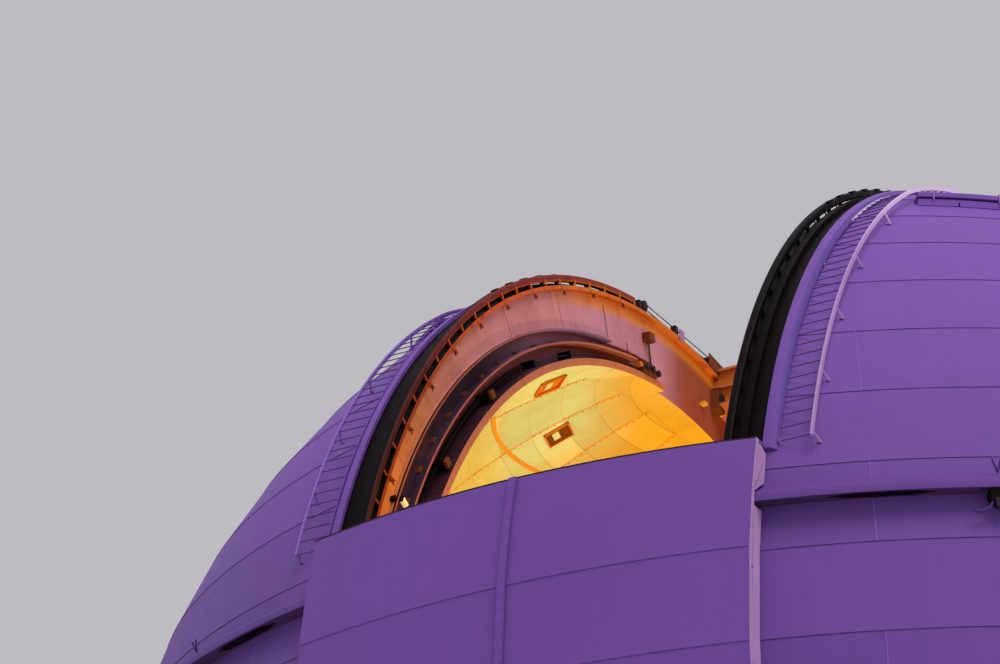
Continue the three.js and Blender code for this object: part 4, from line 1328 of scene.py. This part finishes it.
def build_wall_top():
    """Ring beam in cast lengths, and the rail on it."""
    inner, outer, top = RING_BEAM
    low, high = WALL[2] + FIT - DOME_Z, top - DOME_Z
    beam = Shape()
    beam.ring(oblong(inner, outer, low, high), 0, 360)
    for azimuth in spread(0, 350, 10.0):
        beam.block(0.008, (outer - 0.02, outer + 0.004), (low + 0.02, high - 0.02), on_ring(azimuth), 1)
    beam.piece("ring_beam_concrete", "concrete", [concrete, grey_steel], ["wall_ring_beam"], "building")
    inner, outer, top = RAIL
    low, head = high + FIT, top - DOME_Z
    head_in, head_out = about((inner + outer) / 2, 0.05)
    rail = Shape()
    rail.ring([(inner, low), (outer, low), (outer, low + 0.025), (head_out, low + 0.035),
               (head_out, head), (head_in, head), (head_in, low + 0.035), (inner, low + 0.025)], 0, 360)
    rail.piece("azimuth_rail_steel", "dark_steel", [dark_steel], ["azimuth_rail"], "building")


def build_entrance():
    """Two steel leaves with pressed panels, handles, hinges and kick plates in a deep frame."""
    half, head = DOORWAY
    middle = -(WALL[0] + WALL[1]) / 2
    face = middle - 0.03
    leaf = Shape()
    wide = half - 0.1006
    for side in (-1, 1):
        span = lambda start, end: sorted((start * side, end * side))
        leaf.block(span(0.004, wide), (face, face + 0.06), (0.005, head - 0.1006))
        for low, high in DOOR_PANELS:
            leaf.block(span(0.14, wide - 0.14), (face - 0.012, face), (low, high))
        leaf.block(span(0.06, wide - 0.06), (face - 0.006, face), (0.03, 0.26), finish=1)
        grip = ((0.0, 1.05), (0.06, 1.05), (0.06, 1.35), (0.0, 1.35))
        leaf.tube([(0.09 * side, face - out, z) for out, z in grip], 0.014, 8, 1)
        for z in DOOR_HINGES:
            leaf.tube([(wide * side, face - 0.012, end) for end in about(z, 0.07)], 0.016, 8, 1)
    leaf.piece("entrance_leaves", "door_paint", [entrance_paint, grey_steel], ["entrance_door"], "building")
    surround = Shape()
    edge, top = half - FIT, head - FIT
    for xs, foot in (((-edge, -edge + 0.1), 0), ((edge - 0.1, edge), 0), ((-edge, edge), head - 0.1)):
        surround.block(xs, about(middle, 0.21), (foot, top))
    surround.piece("entrance_surround", "door_paint", [entrance_paint], ["entrance_frame"], "building")


def finish_slab():
    materials = frame["nodes"]["ground_slab"].data.materials
    materials.clear()
    materials.append(concrete)


def camera():
    """Stands where the photograph was taken: low, in front and to the right."""
    yaw, pitch, roll = 0.474, 0.45, -0.034
    focal, width = 3510.354, 1000
    ahead = direction(math.degrees(yaw) + 180, math.degrees(pitch))
    aside = direction(math.degrees(yaw) + 90, 0)
    upright = aside.cross(ahead)
    right = aside * math.cos(roll) + upright * math.sin(roll)
    up = upright * math.cos(roll) - aside * math.sin(roll)
    data = bpy.data.cameras.new("camera")
    data.sensor_width = 36
    data.lens = data.sensor_width * focal / width
    data.clip_end = 1000
    made = link("camera", data)
    place = Vector((1.603 * SKIN, -4.12 * SKIN, DOME_Z - 1.192 * SKIN))
    made.matrix_world = Matrix.Translation(place) @ Matrix((right, up, -ahead)).transposed().to_4x4()
    bpy.context.scene.camera = made
    bpy.context.scene.view_settings.view_transform = "Standard"


def sun(name, azimuth, elevation, energy, colour, softness):
    data = bpy.data.lights.new(name, "SUN")
    data.energy, data.color, data.angle = energy, colour, math.radians(softness)
    turn = direction(azimuth, elevation).to_track_quat("Z", "Y")
    link(name, data).rotation_euler = turn.to_euler()


def warm_light(name, x, y, height, energy, radius, colour):
    data = bpy.data.lights.new(name, "POINT")
    data.energy, data.color, data.shadow_soft_size = energy, colour, radius
    made = link(name, data)
    made.location = (x, y, DOME_Z + height)
    made.visible_camera = False
    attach(made, "dome")


def lights():
    """Soft dusk from the sky, a low key from the right, and warm lamps inside."""
    world = bpy.data.worlds.new("studio")
    world.use_nodes = True
    sky = world.node_tree.nodes["Background"].inputs
    sky["Color"].default_value = (0.93, 0.91, 0.97, 1)
    sky["Strength"].default_value = 0.55
    bpy.context.scene.world = world
    sun("key", 60, 60, 2.0, (1.0, 0.97, 0.97), 38)
    sun("fill", -80, 30, 0.2, (0.86, 0.88, 1.0), 30)
    for name, x in (("inside_right", 3.0), ("inside_left", -3.0)):
        warm_light(name, x, -1.0, 3.0, 2150, 0.6, (1.0, 0.8, 0.5))
    warm_light("lamp_light", -1.8, -12.8, 6.6, 95, 0.3, (1.0, 0.50, 0.10))


def floor():
    size, z = 400, -0.004
    mesh = bpy.data.meshes.new("floor")
    mesh.from_pydata([(x, y, z) for x, y in oblong(-size, size, -size, size)], [], [(0, 1, 2, 3)])
    made = link("floor", mesh)
    mesh.materials.append(plain_paint("floor_paint", (0.72, 0.71, 0.74), 0.8, 0.02, 0.2))


for build in (camera, build_skin, build_skin_seams, build_skin_edge, build_top_rail, build_lining,
              build_lining_ribs, build_back_lining, build_arches, build_arch_details, build_guard,
              build_ladder, build_doors, build_hoods, build_drives, build_header, build_cable_gear,
              build_slit_fittings, build_recess_fittings, build_shutter, build_shutter_sides,
              build_shutter_beam, build_sill, build_ring_girder, build_walls, build_wall_top,
              build_entrance, finish_slab, lights, floor):
    build()
